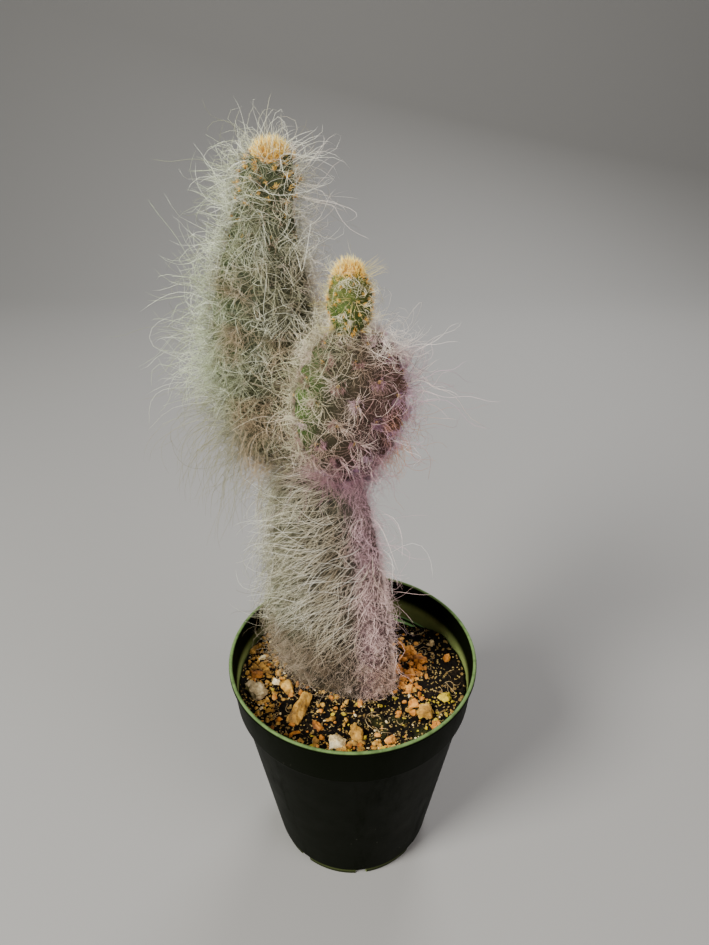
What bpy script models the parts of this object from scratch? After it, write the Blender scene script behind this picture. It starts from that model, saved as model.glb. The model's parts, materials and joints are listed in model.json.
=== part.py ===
# Potted hairy opuntia: a round plastic nursery pot, potting mix with loose stones on it, and a
# cactus of three pads and a young shoot, covered in long hair-like spines, with golden crowns.
# Metres, +Z up, origin at the middle of the pot's underside.
import math
import random

import bmesh
import bpy
import numpy as np
from mathutils import Euler, Matrix, Vector, noise

MM = 0.001
GAP = 0.35 * MM  # clearance kept between neighbouring solids

# The pot
POT_HEIGHT = 110 * MM
RIM_RADIUS = 55 * MM
LIP_DEPTH = 2.6 * MM
COLLAR_HEIGHT = 20.5 * MM
COLLAR_RADIUS = 52.7 * MM  # outside, at the collar's lower edge
BODY_RADIUS = 50.8 * MM  # outside, just under the collar
FOOT_RADIUS = 36.9 * MM
FOOT_HEIGHT = 5 * MM
WALL = 1.2 * MM
FLOOR = 3.2 * MM
RECESS = 1.6 * MM
RECESS_RADII = (8 * MM, 27 * MM)
DRAIN_HOLES = 8
DRAIN_RADIUS = 2.9 * MM
DRAIN_HEIGHT = 1.5 * MM  # of the holes' middle
DRAIN_TURN = 6  # degrees round from +X to the first hole
TURN_STEPS = 36

# The potting mix
SOIL_LEVEL = 91.5 * MM
SOIL_RISE = 3.6 * MM  # how much higher the mix stands at the wall than in the middle
SOIL_ROUGHNESS = 0.7 * MM
SOIL_RINGS = tuple(r * MM for r in (51.1, 45.5, 38.5, 31.0, 23.0, 13.0))
HOLLOW_AZIMUTH = math.radians(59)  # where the mix has sunk below the pot's inner ledge
HOLLOW_SPREAD = math.radians(17)
HOLLOW_DROP = 7.5 * MM
GRAINS = 38
GRAIN_SIZE = (1.0 * MM, 1.9 * MM)

# The cactus
TUBERCLE = 0.8 * MM  # how far the skin swells under each tuft of hairs
HAIR_ROOT = 0.31 * MM  # a hair tapers from this radius to a point
HAIR_SINK = 1.1 * MM
HAIR_STEPS = 3
HAIR_CLEAR = 1.45 * MM  # least distance between the middles of two hairs
HAIR_TRIES = 20
UP = Vector((0, 0, 1))


def any_way(draw):
    return Vector([draw.gauss(0, 1) for _ in range(3)]).normalized()


def clear_scene():
    for obj in list(bpy.data.objects):
        bpy.data.objects.remove(obj, do_unlink=True)


def new_collection(name, hidden=False):
    made = bpy.data.collections.new(name)
    made.hide_render = hidden
    bpy.context.scene.collection.children.link(made)
    return made


def material(name, colour, roughness):
    made = bpy.data.materials.new(name)
    made.use_nodes = True
    shader = made.node_tree.nodes["Principled BSDF"]
    shader.inputs["Base Color"].default_value = (*colour, 1)
    shader.inputs["Roughness"].default_value = roughness
    shader.inputs["Metallic"].default_value = 0
    return made


def add_mesh(name, bm, collection, finish=None):
    mesh = bpy.data.meshes.new(name)
    bm.to_mesh(mesh)
    bm.free()
    obj = bpy.data.objects.new(name, mesh)
    collection.objects.link(obj)
    if finish:
        mesh.materials.append(finish)
    return obj


def as_guide(obj):
    obj.hide_render = True
    obj.display_type = "WIRE"
    return obj


def applied(obj):
    # The object's mesh with its modifiers applied
    bpy.context.view_layer.update()
    graph = bpy.context.evaluated_depsgraph_get()
    mesh = bpy.data.meshes.new_from_object(obj.evaluated_get(graph))
    obj.modifiers.clear()
    obj.data = mesh
    return obj


def combine(obj, operation, collection, solver="EXACT"):
    # Joins the collection's objects to the object, or cuts them from it, then removes them
    step = obj.modifiers.new(operation.lower(), "BOOLEAN")
    step.operation = operation
    step.operand_type = "COLLECTION"
    step.collection = collection
    step.solver = solver
    applied(obj)
    for tool in list(collection.objects):
        bpy.data.objects.remove(tool, do_unlink=True)
    bpy.data.collections.remove(collection)
    return obj


def turned(name, profile, collection, finish):
    bm = bmesh.new()
    verts = [bm.verts.new((radius, 0, z)) for radius, z in profile]
    for first, second in zip(verts, verts[1:]):
        bm.edges.new((first, second))
    obj = add_mesh(name, bm, collection, finish)
    screw = obj.modifiers.new("turn", "SCREW")
    screw.steps = screw.render_steps = TURN_STEPS
    screw.use_merge_vertices = True
    screw.merge_threshold = 0.0001
    return obj


# The pot: a lip, an upright collar, a shoulder where pots nest in each other, and a tapering body

def body_radius(z):
    share = (z - FOOT_HEIGHT) / (POT_HEIGHT - COLLAR_HEIGHT - FOOT_HEIGHT)
    return FOOT_RADIUS + 0.8 * MM + share * (BODY_RADIUS - FOOT_RADIUS - 0.8 * MM)


def pot_profile():
    shoulder = POT_HEIGHT - COLLAR_HEIGHT
    lip_foot = POT_HEIGHT - LIP_DEPTH
    inside = [
        (0, FLOOR),
        (body_radius(FLOOR) - 2 * WALL, FLOOR),
        (body_radius(FLOOR + WALL) - WALL, FLOOR + WALL),
        (body_radius(shoulder - 1.3 * MM) - WALL, shoulder - 1.3 * MM),
        (COLLAR_RADIUS - WALL, shoulder - 0.1 * MM),
        (RIM_RADIUS - 2.0 * MM, lip_foot),
        (RIM_RADIUS - 1.6 * MM, POT_HEIGHT - 0.5 * MM),
        (RIM_RADIUS - 1.1 * MM, POT_HEIGHT),
    ]
    outside = [
        (RIM_RADIUS - 0.5 * MM, POT_HEIGHT),
        (RIM_RADIUS, POT_HEIGHT - 0.6 * MM),
        (RIM_RADIUS, lip_foot + 0.4 * MM),
        (RIM_RADIUS - 0.8 * MM, lip_foot),
        (COLLAR_RADIUS, shoulder + 0.7 * MM),
        (COLLAR_RADIUS - 0.5 * MM, shoulder),
        (BODY_RADIUS, shoulder - 0.6 * MM),
        (body_radius(FOOT_HEIGHT), FOOT_HEIGHT),
        (FOOT_RADIUS, FOOT_HEIGHT - 0.6 * MM),
        (FOOT_RADIUS - 0.4 * MM, 0.7 * MM),
        (FOOT_RADIUS - 1.1 * MM, 0),
        (RECESS_RADII[1], 0),
        (RECESS_RADII[1] - 1 * MM, RECESS),
        (RECESS_RADII[0] + 1 * MM, RECESS),
        (RECESS_RADII[0], 0),
        (0, 0),
    ]
    return inside + outside


def make_pot(parts, finish):
    pot = applied(turned("pot", pot_profile(), parts, finish))
    drains = new_collection("drains", hidden=True)
    for index in range(DRAIN_HOLES):
        bm = bmesh.new()
        bmesh.ops.create_cone(
            bm, cap_ends=True, segments=12, radius1=DRAIN_RADIUS, radius2=DRAIN_RADIUS, depth=14 * MM
        )
        azimuth = math.radians(DRAIN_TURN) + index * math.tau / DRAIN_HOLES
        across = Matrix.Translation((FOOT_RADIUS - 1 * MM, 0, DRAIN_HEIGHT)) @ Matrix.Rotation(math.pi / 2, 4, "Y")
        bm.transform(Matrix.Rotation(azimuth, 4, "Z") @ across)
        as_guide(add_mesh(f"drain_{index}", bm, drains))
    combine(pot, "DIFFERENCE", drains)
    pot.data.shade_smooth()
    pot.data.set_sharp_from_angle(angle=math.radians(35))
    return pot


# The potting mix: a dished, lumpy surface, sunk at one side

def hollow(x, y):
    turn = (math.atan2(y, x) - HOLLOW_AZIMUTH + math.pi) % math.tau - math.pi
    reach = max(0.0, math.hypot(x, y) / SOIL_RINGS[0] - 0.55) / 0.45
    return reach * math.exp(-((turn / HOLLOW_SPREAD) ** 2))


def soil_height(x, y):
    dish = SOIL_RISE * (math.hypot(x, y) / SOIL_RINGS[0]) ** 2
    lumps = SOIL_ROUGHNESS * noise.noise(Vector((x, y, 0.3)) / (7 * MM))
    return SOIL_LEVEL + dish + lumps - HOLLOW_DROP * hollow(x, y)


def make_soil(parts, finish):
    base = FLOOR + 0.3 * MM
    shoulder = POT_HEIGHT - COLLAR_HEIGHT - 1.6 * MM
    profile = [(0, SOIL_LEVEL)]
    profile += [(radius, SOIL_LEVEL) for radius in reversed(SOIL_RINGS)]
    profile += [
        (body_radius(shoulder) - WALL - 0.45 * MM, shoulder),
        (body_radius(base + WALL) - WALL - 0.45 * MM, base + WALL),
        (body_radius(base) - 2 * WALL - 0.45 * MM, base),
        (0, base),
    ]
    soil = applied(turned("soil", profile, parts, finish))
    for vert in soil.data.vertices:
        if abs(vert.co.z - SOIL_LEVEL) > 1e-6:
            continue
        # Where the mix has sunk it no longer covers the ledge, so its edge lies further in
        shrink = 1 - 0.045 * hollow(vert.co.x, vert.co.y)
        vert.co.x *= shrink
        vert.co.y *= shrink
        vert.co.z = soil_height(vert.co.x, vert.co.y)
    return soil


# Loose stones and chips lying in the mix: name, place, size, turn in degrees, finish

STONES = (
    ("bark_chip_long", (-23.6, -18.6), (21.0, 6.2, 5.0), 66, "ochre"),
    ("stone_grey_lump", (-43.0, -10.6), (11.0, 9.0, 6.5), -20, "grey_stone"),
    ("stone_orange_left", (-43.8, 0.2), (5.6, 4.6, 3.6), 10, "amber"),
    ("perlite_left_front", (-35.0, -3.6), (4.6, 4.4, 4.0), 0, "perlite"),
    ("perlite_left_back", (-42.6, 10.6), (4.0, 3.8, 3.6), 30, "perlite"),
    ("pumice_tan_clump", (-29.6, -6.0), (6.0, 8.2, 4.6), 20, "ochre"),
    ("pumice_cream_front", (-6.2, -37.2), (7.4, 7.0, 5.6), 15, "perlite"),
    ("stone_tan_front", (1.6, -31.6), (6.2, 10.4, 6.0), 12, "ochre"),
    ("bark_chip_small", (-15.0, -27.4), (7.0, 3.8, 3.2), -42, "amber"),
    ("stone_tan_right", (31.6, -21.0), (7.4, 8.2, 5.6), 35, "ochre"),
    ("stone_yellow_right", (40.6, -13.4), (6.4, 5.6, 4.6), -15, "yellow_stone"),
    ("stone_amber_right", (35.2, -29.4), (5.2, 5.2, 4.2), 25, "amber"),
    ("stone_orange_back", (27.4, 17.0), (6.4, 5.6, 4.4), 50, "amber"),
    ("stone_orange_mid", (32.0, 10.0), (7.0, 5.4, 4.4), -25, "amber"),
    ("stone_orange_near", (26.4, 3.0), (6.0, 5.0, 4.0), 15, "amber"),
    ("stone_orange_low", (26.0, -7.0), (5.0, 4.8, 4.2), 0, "amber"),
    ("perlite_right_back", (37.4, 20.4), (4.6, 4.2, 3.8), 40, "perlite"),
    ("stone_amber_front", (16.0, -35.4), (6.0, 4.6, 3.8), 5, "amber"),
)


def stone_centre(place, size):
    x, y = place[0] * MM, place[1] * MM
    return Vector((x, y, soil_height(x, y) + 0.16 * size[2] * MM))


def stone_mesh(number, place, size, turn, grow=0.0):
    bm = bmesh.new()
    bmesh.ops.create_icosphere(bm, subdivisions=2 if max(size) > 5.5 else 1, radius=1)
    half = Vector([side * MM / 2 + grow for side in size])
    for vert in bm.verts:
        rough = 1 + 0.16 * noise.noise(vert.co * 1.6 + Vector((number * 3.1, 0, 0)))
        boxy = max(abs(part) for part in vert.co) ** -0.35
        vert.co = Vector([part * rough * boxy * side for part, side in zip(vert.co, half)])
    bm.transform(Matrix.Translation(stone_centre(place, size)) @ Matrix.Rotation(math.radians(turn), 4, "Z"))
    return bm


def make_stones(parts, finishes):
    made = []
    for number, (name, place, size, turn, finish) in enumerate(STONES):
        bm = stone_mesh(number, place, size, turn)
        made.append(add_mesh(name, bm, parts, finishes[finish]))
    return made


def clear_of_stones(point, margin):
    for _, place, size, turn, _ in STONES:
        offset = Euler((0, 0, -math.radians(turn))).to_matrix() @ (point - stone_centre(place, size))
        reach = [abs(part) / (side * MM * 0.6 + margin) for part, side in zip(offset, size)]
        if sum(part * part for part in reach) < 1:
            return False
    return True


# The pads: flattened, swelling stem joints, each with its wide side turned to face its own way

class Pad:
    def __init__(self, name, root, tip, half_width, half_thick, facing, fullness, top_heavy, grid, bow, neck):
        self.name = name
        self.root = Vector(root) * MM
        self.tip = Vector(tip) * MM
        self.half_width = half_width * MM
        self.half_thick = half_thick * MM
        self.fullness = fullness  # low is blunt, high is pointed
        self.top_heavy = top_heavy  # over 1 is widest above the middle
        self.rings, self.sectors = grid
        self.bow = bow * MM  # how far the middle leans out sideways
        self.neck = neck  # width of the upright new growth that tops a pad, as a share of the pad's
        self.length = (self.tip - self.root).length
        self.along = (self.tip - self.root).normalized()
        level = Vector((math.cos(math.radians(facing)), math.sin(math.radians(facing)), 0))
        self.across = (level - self.along * level.dot(self.along)).normalized()
        self.through = self.along.cross(self.across)

    def swell(self, t):
        # The outline: an egg shape, blended at the top into a column where new growth stands on it
        t = min(1.0, max(0.0, t))
        egg_share = min(1.0, t / NECK_FOOT) if self.neck else t
        egg = max(0.0, math.sin(math.pi * egg_share ** self.top_heavy)) ** self.fullness
        if not self.neck:
            return egg
        blend = min(1.0, max(0.0, (t - 0.3) / 0.4))
        column = self.neck * blend * blend * (3 - 2 * blend) * math.sqrt(1 - t**24)
        return (egg**3 + column**3) ** (1 / 3)

    def middle(self, t):
        return self.root + self.along * (self.length * t) + self.across * (self.bow * math.sin(math.pi * t))

    def skin(self, t, angle, rise=0.0):
        wide = self.half_width * self.swell(t)
        thick = self.half_thick * self.swell(t)
        flat = self.across * (wide * math.cos(angle)) + self.through * (thick * math.sin(angle))
        return self.middle(t) + flat + self.normal(t, angle) * rise

    def normal(self, t, angle):
        step = 0.01
        wide = self.half_width * self.swell(t)
        thick = self.half_thick * self.swell(t)
        slope = (self.swell(t + step) - self.swell(t - step)) / (2 * step) * self.half_width / self.length
        side = self.across * (thick * math.cos(angle)) + self.through * (wide * math.sin(angle))
        if side.length < 1e-9:
            return self.along if t > 0.5 else -self.along
        return (side.normalized() - self.along * max(-3.0, min(3.0, slope))).normalized()

    def station(self, ring):
        # Rings lie closer together towards both ends
        even = ring / self.rings
        return 0.55 * even + 0.45 * (1 - math.cos(math.pi * even)) / 2

    def holds(self, point, margin):
        offset = point - self.root
        t = offset.dot(self.along) / self.length
        end = margin / self.length
        if not -end < t < 1 + end:
            return False
        flat = point - self.middle(t)
        wide = self.half_width * self.swell(t) + margin
        thick = self.half_thick * self.swell(t) + margin
        return (flat.dot(self.across) / wide) ** 2 + (flat.dot(self.through) / thick) ** 2 < 1


NECK_FOOT = 0.86  # where the egg part of a necked pad ends, as a share of its height
PAD_LOWER = Pad("pad_lower", (-4, 3, 60), (-13, 4, 213), 26.8, 12, -24, 0.3, 0.68, (17, 16), -2, 0)
PAD_LEFT = Pad("pad_left", (-23.5, 8, 199), (-25.4, 6, 315.6), 19.5, 9.5, -8, 0.62, 0.8, (18, 16), -7, 0.47)
PAD_RIGHT = Pad("pad_right", (-1.5, -6, 201), (0.5, -12, 264), 19.5, 9, 14, 0.48, 1.15, (10, 16), 0, 0)
SHOOT = Pad("shoot", (-0.5, -11.5, 259), (-0.8, -12, 283), 6.7, 6.1, 10, 0.42, 1.1, (6, 10), 0, 0)
PADS = (PAD_LOWER, PAD_LEFT, PAD_RIGHT, SHOOT)
GROWS_FROM = {"pad_left": PAD_LOWER, "pad_right": PAD_LOWER, "shoot": PAD_RIGHT}
SOIL_COVER = 7 * MM  # a pad carries no tufts until this far above the mix


# The golden crowns: a woolly cap on each of the two growing tips, with short bristles standing out

CROWN_DROP = 2.6 * MM  # how far the cap's middle lies below the pad's tip
CROWN_FLATNESS = 0.9


class Crown:
    def __init__(self, name, pad, radius, bristles, length):
        self.name = name
        self.pad = pad
        self.middle = pad.tip - pad.along * CROWN_DROP
        self.half = Vector((radius, radius * CROWN_FLATNESS, 3.6)) * MM
        self.bristles = bristles
        self.length = tuple(part * MM for part in length)
        self.turn = Matrix((pad.across, pad.through, pad.along)).transposed()

    def holds(self, point, margin):
        offset = self.turn.transposed() @ (point - self.middle)
        return sum((part / (half + margin)) ** 2 for part, half in zip(offset, self.half)) < 1


CROWNS = (
    Crown("crown_left", PAD_LEFT, 5.8, 34, (3.2, 5.0)),
    Crown("crown_right", SHOOT, 4.9, 30, (3.6, 5.4)),
)


def cap_mesh(crown, grow=0.0):
    bm = bmesh.new()
    bmesh.ops.create_uvsphere(bm, u_segments=10, v_segments=6, radius=1)
    size = Matrix.Diagonal((*[half + grow for half in crown.half], 1))
    bm.transform(Matrix.Translation(crown.middle) @ crown.turn.to_4x4() @ size)
    return bm


def crown_bristles(crown, draw):
    # Spread over the cap by the golden angle, leaning out more towards its edge
    paths = []
    for number in range(crown.bristles):
        share = 0.93 * math.sqrt((number + 0.5) / crown.bristles)
        angle = number * math.radians(137.5)
        flat = Vector((share * math.cos(angle), share * math.sin(angle), math.sqrt(1 - share * share)))
        start = crown.middle + crown.turn @ Vector([part * half for part, half in zip(flat, crown.half)])
        out = crown.turn @ Vector((flat.x, flat.y, 0))
        heading = (crown.pad.along + out * 0.7 + any_way(draw) * 0.08).normalized()
        root = start - crown.pad.along * HAIR_SINK
        paths.append([root, start + heading * draw.uniform(*crown.length)])
    return paths


def bears_tuft(pad, ring, sector):
    # Every other point of the grid, from the second ring up, where no neighbour is in the way
    if not 1 < ring < pad.rings or (ring + sector) % 2:
        return False
    place = pad.skin(pad.station(ring), sector * math.tau / pad.sectors)
    if pad is PAD_LOWER and place.z < soil_height(place.x, place.y) + SOIL_COVER:
        return False
    if any(crown.holds(place, 1.8 * MM) for crown in CROWNS):
        return False
    return not any(other.holds(place, 2.4 * MM) for other in PADS if other is not pad)


def pad_mesh(pad, grow=0.0):
    bm = bmesh.new()
    bmesh.ops.create_uvsphere(bm, u_segments=pad.sectors, v_segments=pad.rings, radius=1)
    for vert in bm.verts:
        ring = round((1 - math.acos(max(-1.0, min(1.0, vert.co.z))) / math.pi) * pad.rings)
        # The sphere's first meridian lies along +Y
        sector = round(math.atan2(-vert.co.x, vert.co.y) / math.tau * pad.sectors) % pad.sectors
        rise = TUBERCLE if bears_tuft(pad, ring, sector) and not grow else 0
        vert.co = pad.skin(pad.station(ring), sector * math.tau / pad.sectors, rise + grow)
    bmesh.ops.recalc_face_normals(bm, faces=bm.faces)
    return bm


# The hairs: thin tapering spines in tufts, each grown step by step and kept clear of the others

class Style:
    def __init__(self, length, per_tuft, lift, spread, droop, sweep, curl):
        self.length = tuple(part * MM for part in length)
        self.per_tuft = per_tuft
        self.lift = lift  # how upright the hairs leave the skin
        self.spread = spread
        self.droop = droop
        self.sweep = sweep  # how strongly the hairs are combed to the left
        self.curl = curl


STYLES = {
    "pad_lower": Style((15, 23), 1.3, 0.7, 0.4, 0.38, 0.36, 0.3),
    "pad_left": Style((14, 23), 1.35, 1.0, 0.7, 0.12, 0.08, 0.5),
    "pad_right": Style((13, 21), 1.6, 1.0, 0.7, 0.18, -0.08, 0.5),
    "shoot": Style((6, 11), 1.3, 1.0, 0.6, -0.05, 0.0, 0.4),
}
STRAY_CURL = 0.22

# Long stray hairs that reach furthest: pad, height along it, angle round it, heading, length
STRAYS = (
    (PAD_LEFT, 0.66, 176, (-1.0, -0.1, 0.2), 36),
    (PAD_LEFT, 0.36, 184, (-1.0, -0.2, -0.35), 27),
    (PAD_LEFT, 0.74, 80, (0.1, 0.9, 0.45), 24),
    (PAD_LEFT, 0.90, 165, (-0.6, 0.1, 0.8), 27),
    (PAD_LEFT, 0.90, 15, (0.36, 0.15, 1.0), 31),
    (PAD_LEFT, 0.86, 350, (0.9, -0.2, 0.3), 25),
    (PAD_RIGHT, 0.62, 4, (1.0, -0.15, 0.3), 24),
    (PAD_RIGHT, 0.40, 350, (1.0, -0.2, -0.35), 22),
    (PAD_LOWER, 0.80, 2, (1.0, -0.3, 0.1), 20),
    (PAD_LOWER, 0.88, 180, (-0.7, 0.0, -0.6), 30),
)


def hair_path(start, normal, heading, length, style, draw):
    # The first point is the root, sunk straight into the skin so that neighbours stay apart there
    step = length / HAIR_STEPS
    points = [start - normal * HAIR_SINK]
    place = start
    for _ in range(HAIR_STEPS):
        place = place + heading * step
        points.append(place)
        pull = Vector((-style.sweep, 0, -style.droop)) + any_way(draw) * style.curl
        heading = (heading + pull * 0.8).normalized()
    return points


def samples_of(points):
    spots = []
    for first, second in zip(points, points[1:]):
        count = max(2, math.ceil((second - first).length / (1.6 * MM)))
        spots += [first.lerp(second, part / count) for part in range(count)]
    return spots + [points[-1]]


def fits(pad, spots, taken, own_tuft):
    for index, spot in enumerate(spots):
        if index > 2 and pad.holds(spot, 0.9 * MM):
            return False
        if any(other.holds(spot, 2.0 * MM) for other in PADS if other is not pad):
            return False
        if any(crown.holds(spot, 1.3 * MM) for crown in CROWNS):
            return False
        radius = math.hypot(spot.x, spot.y)
        if spot.z < POT_HEIGHT + 2 * MM and radius > SOIL_RINGS[0] - 2 * MM:
            return False
        if radius < SOIL_RINGS[0] and spot.z < soil_height(spot.x, spot.y) + 3 * MM:
            return False
        if spot.z < POT_HEIGHT and not clear_of_stones(spot, 1 * MM):
            return False
    if not taken:
        return True
    places = np.array([place for place, _, _ in taken])
    tufts = np.array([tuft for _, tuft, _ in taken])
    depths = np.array([depth for _, _, depth in taken])
    for index, spot in enumerate(spots):
        apart = np.linalg.norm(places - np.array(spot), axis=1)
        counts = (tufts != own_tuft) | (depths > 2) & (index > 2)
        if (apart[counts] < HAIR_CLEAR).any():
            return False
    return True


def keep_hair(points, hairs, taken, own_tuft):
    taken += [(tuple(spot), own_tuft, depth) for depth, spot in enumerate(samples_of(points))]
    hairs.append(points)


def grow_strays(hairs, taken, draw):
    for number, (pad, t, degrees, heading, length) in enumerate(STRAYS):
        angle = math.radians(degrees)
        start = pad.skin(t, angle)
        loose = Style((0, 0), 0, 0, 0, 0, 0, STRAY_CURL)
        for _ in range(HAIR_TRIES):
            way = (Vector(heading).normalized() + any_way(draw) * 0.1).normalized()
            points = hair_path(start, pad.normal(t, angle), way, length * MM, loose, draw)
            if fits(pad, samples_of(points), taken, -1 - number):
                keep_hair(points, hairs[pad.name], taken, -1 - number)
                break


def grow_tufts(pad, first_tuft, hairs, taken, draw):
    style = STYLES[pad.name]
    tuft = first_tuft
    for ring in range(1, pad.rings):
        for sector in range(pad.sectors):
            if not bears_tuft(pad, ring, sector):
                continue
            tuft += 1
            angle = sector * math.tau / pad.sectors
            normal = pad.normal(pad.station(ring), angle)
            centre = pad.skin(pad.station(ring), angle, TUBERCLE)
            side = normal.orthogonal().normalized()
            wanted = int(style.per_tuft) + (draw.random() < style.per_tuft % 1)
            turn = draw.random() * math.tau
            for number in range(wanted):
                lean = Matrix.Rotation(turn + number * math.tau / wanted, 3, normal) @ side
                start = centre + lean * 0.75 * MM - normal * 0.3 * MM
                for _ in range(HAIR_TRIES):
                    comb = Vector((-style.sweep, 0, -style.droop))
                    heading = normal * style.lift + lean * style.spread + comb + any_way(draw) * 0.3
                    heading.normalize()
                    length = draw.uniform(*style.length)
                    points = hair_path(start, normal, heading, length, style, draw)
                    if fits(pad, samples_of(points), taken, tuft):
                        keep_hair(points, hairs, taken, tuft)
                        break
    return tuft


def hair_mesh(name, paths, section, collection):
    # One closed three-sided spine for each path, its root sunk in the skin
    curve = bpy.data.curves.new(name, "CURVE")
    curve.dimensions = "3D"
    curve.bevel_mode = "OBJECT"
    curve.bevel_object = section
    curve.use_fill_caps = True
    for points in paths:
        spline = curve.splines.new("POLY")
        spline.points.add(len(points) - 1)
        for number, (point, place) in enumerate(zip(spline.points, points)):
            point.co = (*place, 1)
            point.radius = (1 - number / (len(points) - 1)) ** 0.6
    drawn = bpy.data.objects.new(name + "_curve", curve)
    collection.objects.link(drawn)
    bpy.context.view_layer.update()
    graph = bpy.context.evaluated_depsgraph_get()
    bm = bmesh.new()
    bm.from_mesh(bpy.data.meshes.new_from_object(drawn.evaluated_get(graph)))
    bpy.data.objects.remove(drawn, do_unlink=True)
    bmesh.ops.remove_doubles(bm, verts=bm.verts, dist=0.01 * MM)
    bmesh.ops.recalc_face_normals(bm, faces=bm.faces)
    return as_guide(add_mesh(name, bm, collection))


def three_sided_section(guides):
    curve = bpy.data.curves.new("hair_section", "CURVE")
    spline = curve.splines.new("POLY")
    spline.points.add(2)
    for number, point in enumerate(spline.points):
        angle = number * math.tau / 3
        point.co = (HAIR_ROOT * math.cos(angle), HAIR_ROOT * math.sin(angle), 0, 1)
    spline.use_cyclic_u = True
    obj = bpy.data.objects.new("hair_section", curve)
    guides.objects.link(obj)
    return as_guide(obj)


def make_plant(parts, finishes):
    draw = random.Random(7)
    guides = new_collection("guides", hidden=True)
    section = three_sided_section(guides)
    taken = []
    hairs = {pad.name: [] for pad in PADS}
    bristles = {}
    tuft = 1
    for crown in CROWNS:
        bristles[crown.name] = crown_bristles(crown, draw)
        for points in bristles[crown.name]:
            tuft += 1
            taken += [(tuple(spot), tuft, 9) for spot in samples_of(points)]
    grow_strays(hairs, taken, draw)
    for pad in reversed(PADS):
        tuft = grow_tufts(pad, tuft, hairs[pad.name], taken, draw)

    made = []
    for pad in PADS:
        body = add_mesh(pad.name, pad_mesh(pad), parts, finishes["hairy_skin"])
        sockets = new_collection(pad.name + "_sockets", hidden=True)
        for name, below in GROWS_FROM.items():
            if below is pad:
                upper = next(other for other in PADS if other.name == name)
                as_guide(add_mesh(name + "_socket", pad_mesh(upper, GAP), sockets))
        for crown in CROWNS:
            if crown.pad is pad:
                as_guide(add_mesh(crown.name + "_socket", cap_mesh(crown, GAP), sockets))
        combine(body, "DIFFERENCE", sockets)
        growth = new_collection(pad.name + "_hairs", hidden=True)
        hair_mesh(pad.name + "_hair", hairs[pad.name], section, growth)
        combine(body, "UNION", growth)
        made.append(body)
    for crown in CROWNS:
        body = add_mesh(crown.name, cap_mesh(crown), parts, finishes["golden_bristle"])
        growth = new_collection(crown.name + "_bristles", hidden=True)
        hair_mesh(crown.name + "_bristle", bristles[crown.name], section, growth)
        combine(body, "UNION", growth)
        made.append(body)
    bpy.data.objects.remove(section, do_unlink=True)
    return made


# Fitting the mix round what stands and lies in it

def add_grains(soil):
    draw = random.Random(21)
    grains = new_collection("grains", hidden=True)
    placed = []
    while len(placed) < GRAINS:
        radius = SOIL_RINGS[0] * 0.9 * math.sqrt(draw.random())
        azimuth = draw.uniform(0, math.tau)
        size = draw.uniform(*GRAIN_SIZE)
        x, y = radius * math.cos(azimuth), radius * math.sin(azimuth)
        centre = Vector((x, y, soil_height(x, y) + 0.25 * size))
        near = any((centre - other).length < size + 2.4 * MM for other in placed)
        if near or not clear_of_stones(centre, size + 0.9 * MM):
            continue
        if PAD_LOWER.holds(centre, size + 1.2 * MM) or hollow(x, y) > 0.15:
            continue
        placed.append(centre)
        bm = bmesh.new()
        bmesh.ops.create_icosphere(bm, subdivisions=1, radius=size)
        tumble = Euler([draw.uniform(0, math.tau) for _ in range(3)]).to_matrix().to_4x4()
        shape = Matrix.Diagonal((1, draw.uniform(0.7, 1), draw.uniform(0.6, 0.9), 1))
        bm.transform(Matrix.Translation(centre) @ shape @ tumble)
        as_guide(add_mesh(f"grain_{len(placed)}", bm, grains))
    combine(soil, "UNION", grains)


def cut_seats(soil):
    seats = new_collection("seats", hidden=True)
    as_guide(add_mesh("pad_seat", pad_mesh(PAD_LOWER, GAP), seats))
    for number, (name, place, size, turn, _) in enumerate(STONES):
        bm = stone_mesh(number, place, size, turn, 1.3 * GAP)
        as_guide(add_mesh(name + "_seat", bm, seats))
    combine(soil, "DIFFERENCE", seats)


def main():
    clear_scene()
    parts = new_collection("potted_opuntia")
    finishes = {
        "pot_plastic": material("pot_plastic", (0.016, 0.034, 0.017), 0.38),
        "potting_mix": material("potting_mix", (0.035, 0.025, 0.017), 0.95),
        "hairy_skin": material("hairy_skin", (0.56, 0.60, 0.47), 0.7),
        "golden_bristle": material("golden_bristle", (0.86, 0.54, 0.16), 0.6),
        "ochre": material("ochre", (0.55, 0.31, 0.09), 0.85),
        "amber": material("amber", (0.60, 0.26, 0.06), 0.8),
        "grey_stone": material("grey_stone", (0.36, 0.31, 0.23), 0.9),
        "yellow_stone": material("yellow_stone", (0.66, 0.50, 0.08), 0.85),
        "perlite": material("perlite", (0.82, 0.78, 0.64), 0.9),
    }
    make_pot(parts, finishes["pot_plastic"])
    soil = make_soil(parts, finishes["potting_mix"])
    add_grains(soil)
    cut_seats(soil)
    make_stones(parts, finishes)
    make_plant(parts, finishes)


main()
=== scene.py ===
import json
import math
import random

import bmesh
import bpy
import numpy as np
from mathutils import Matrix, Vector, noise


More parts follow.
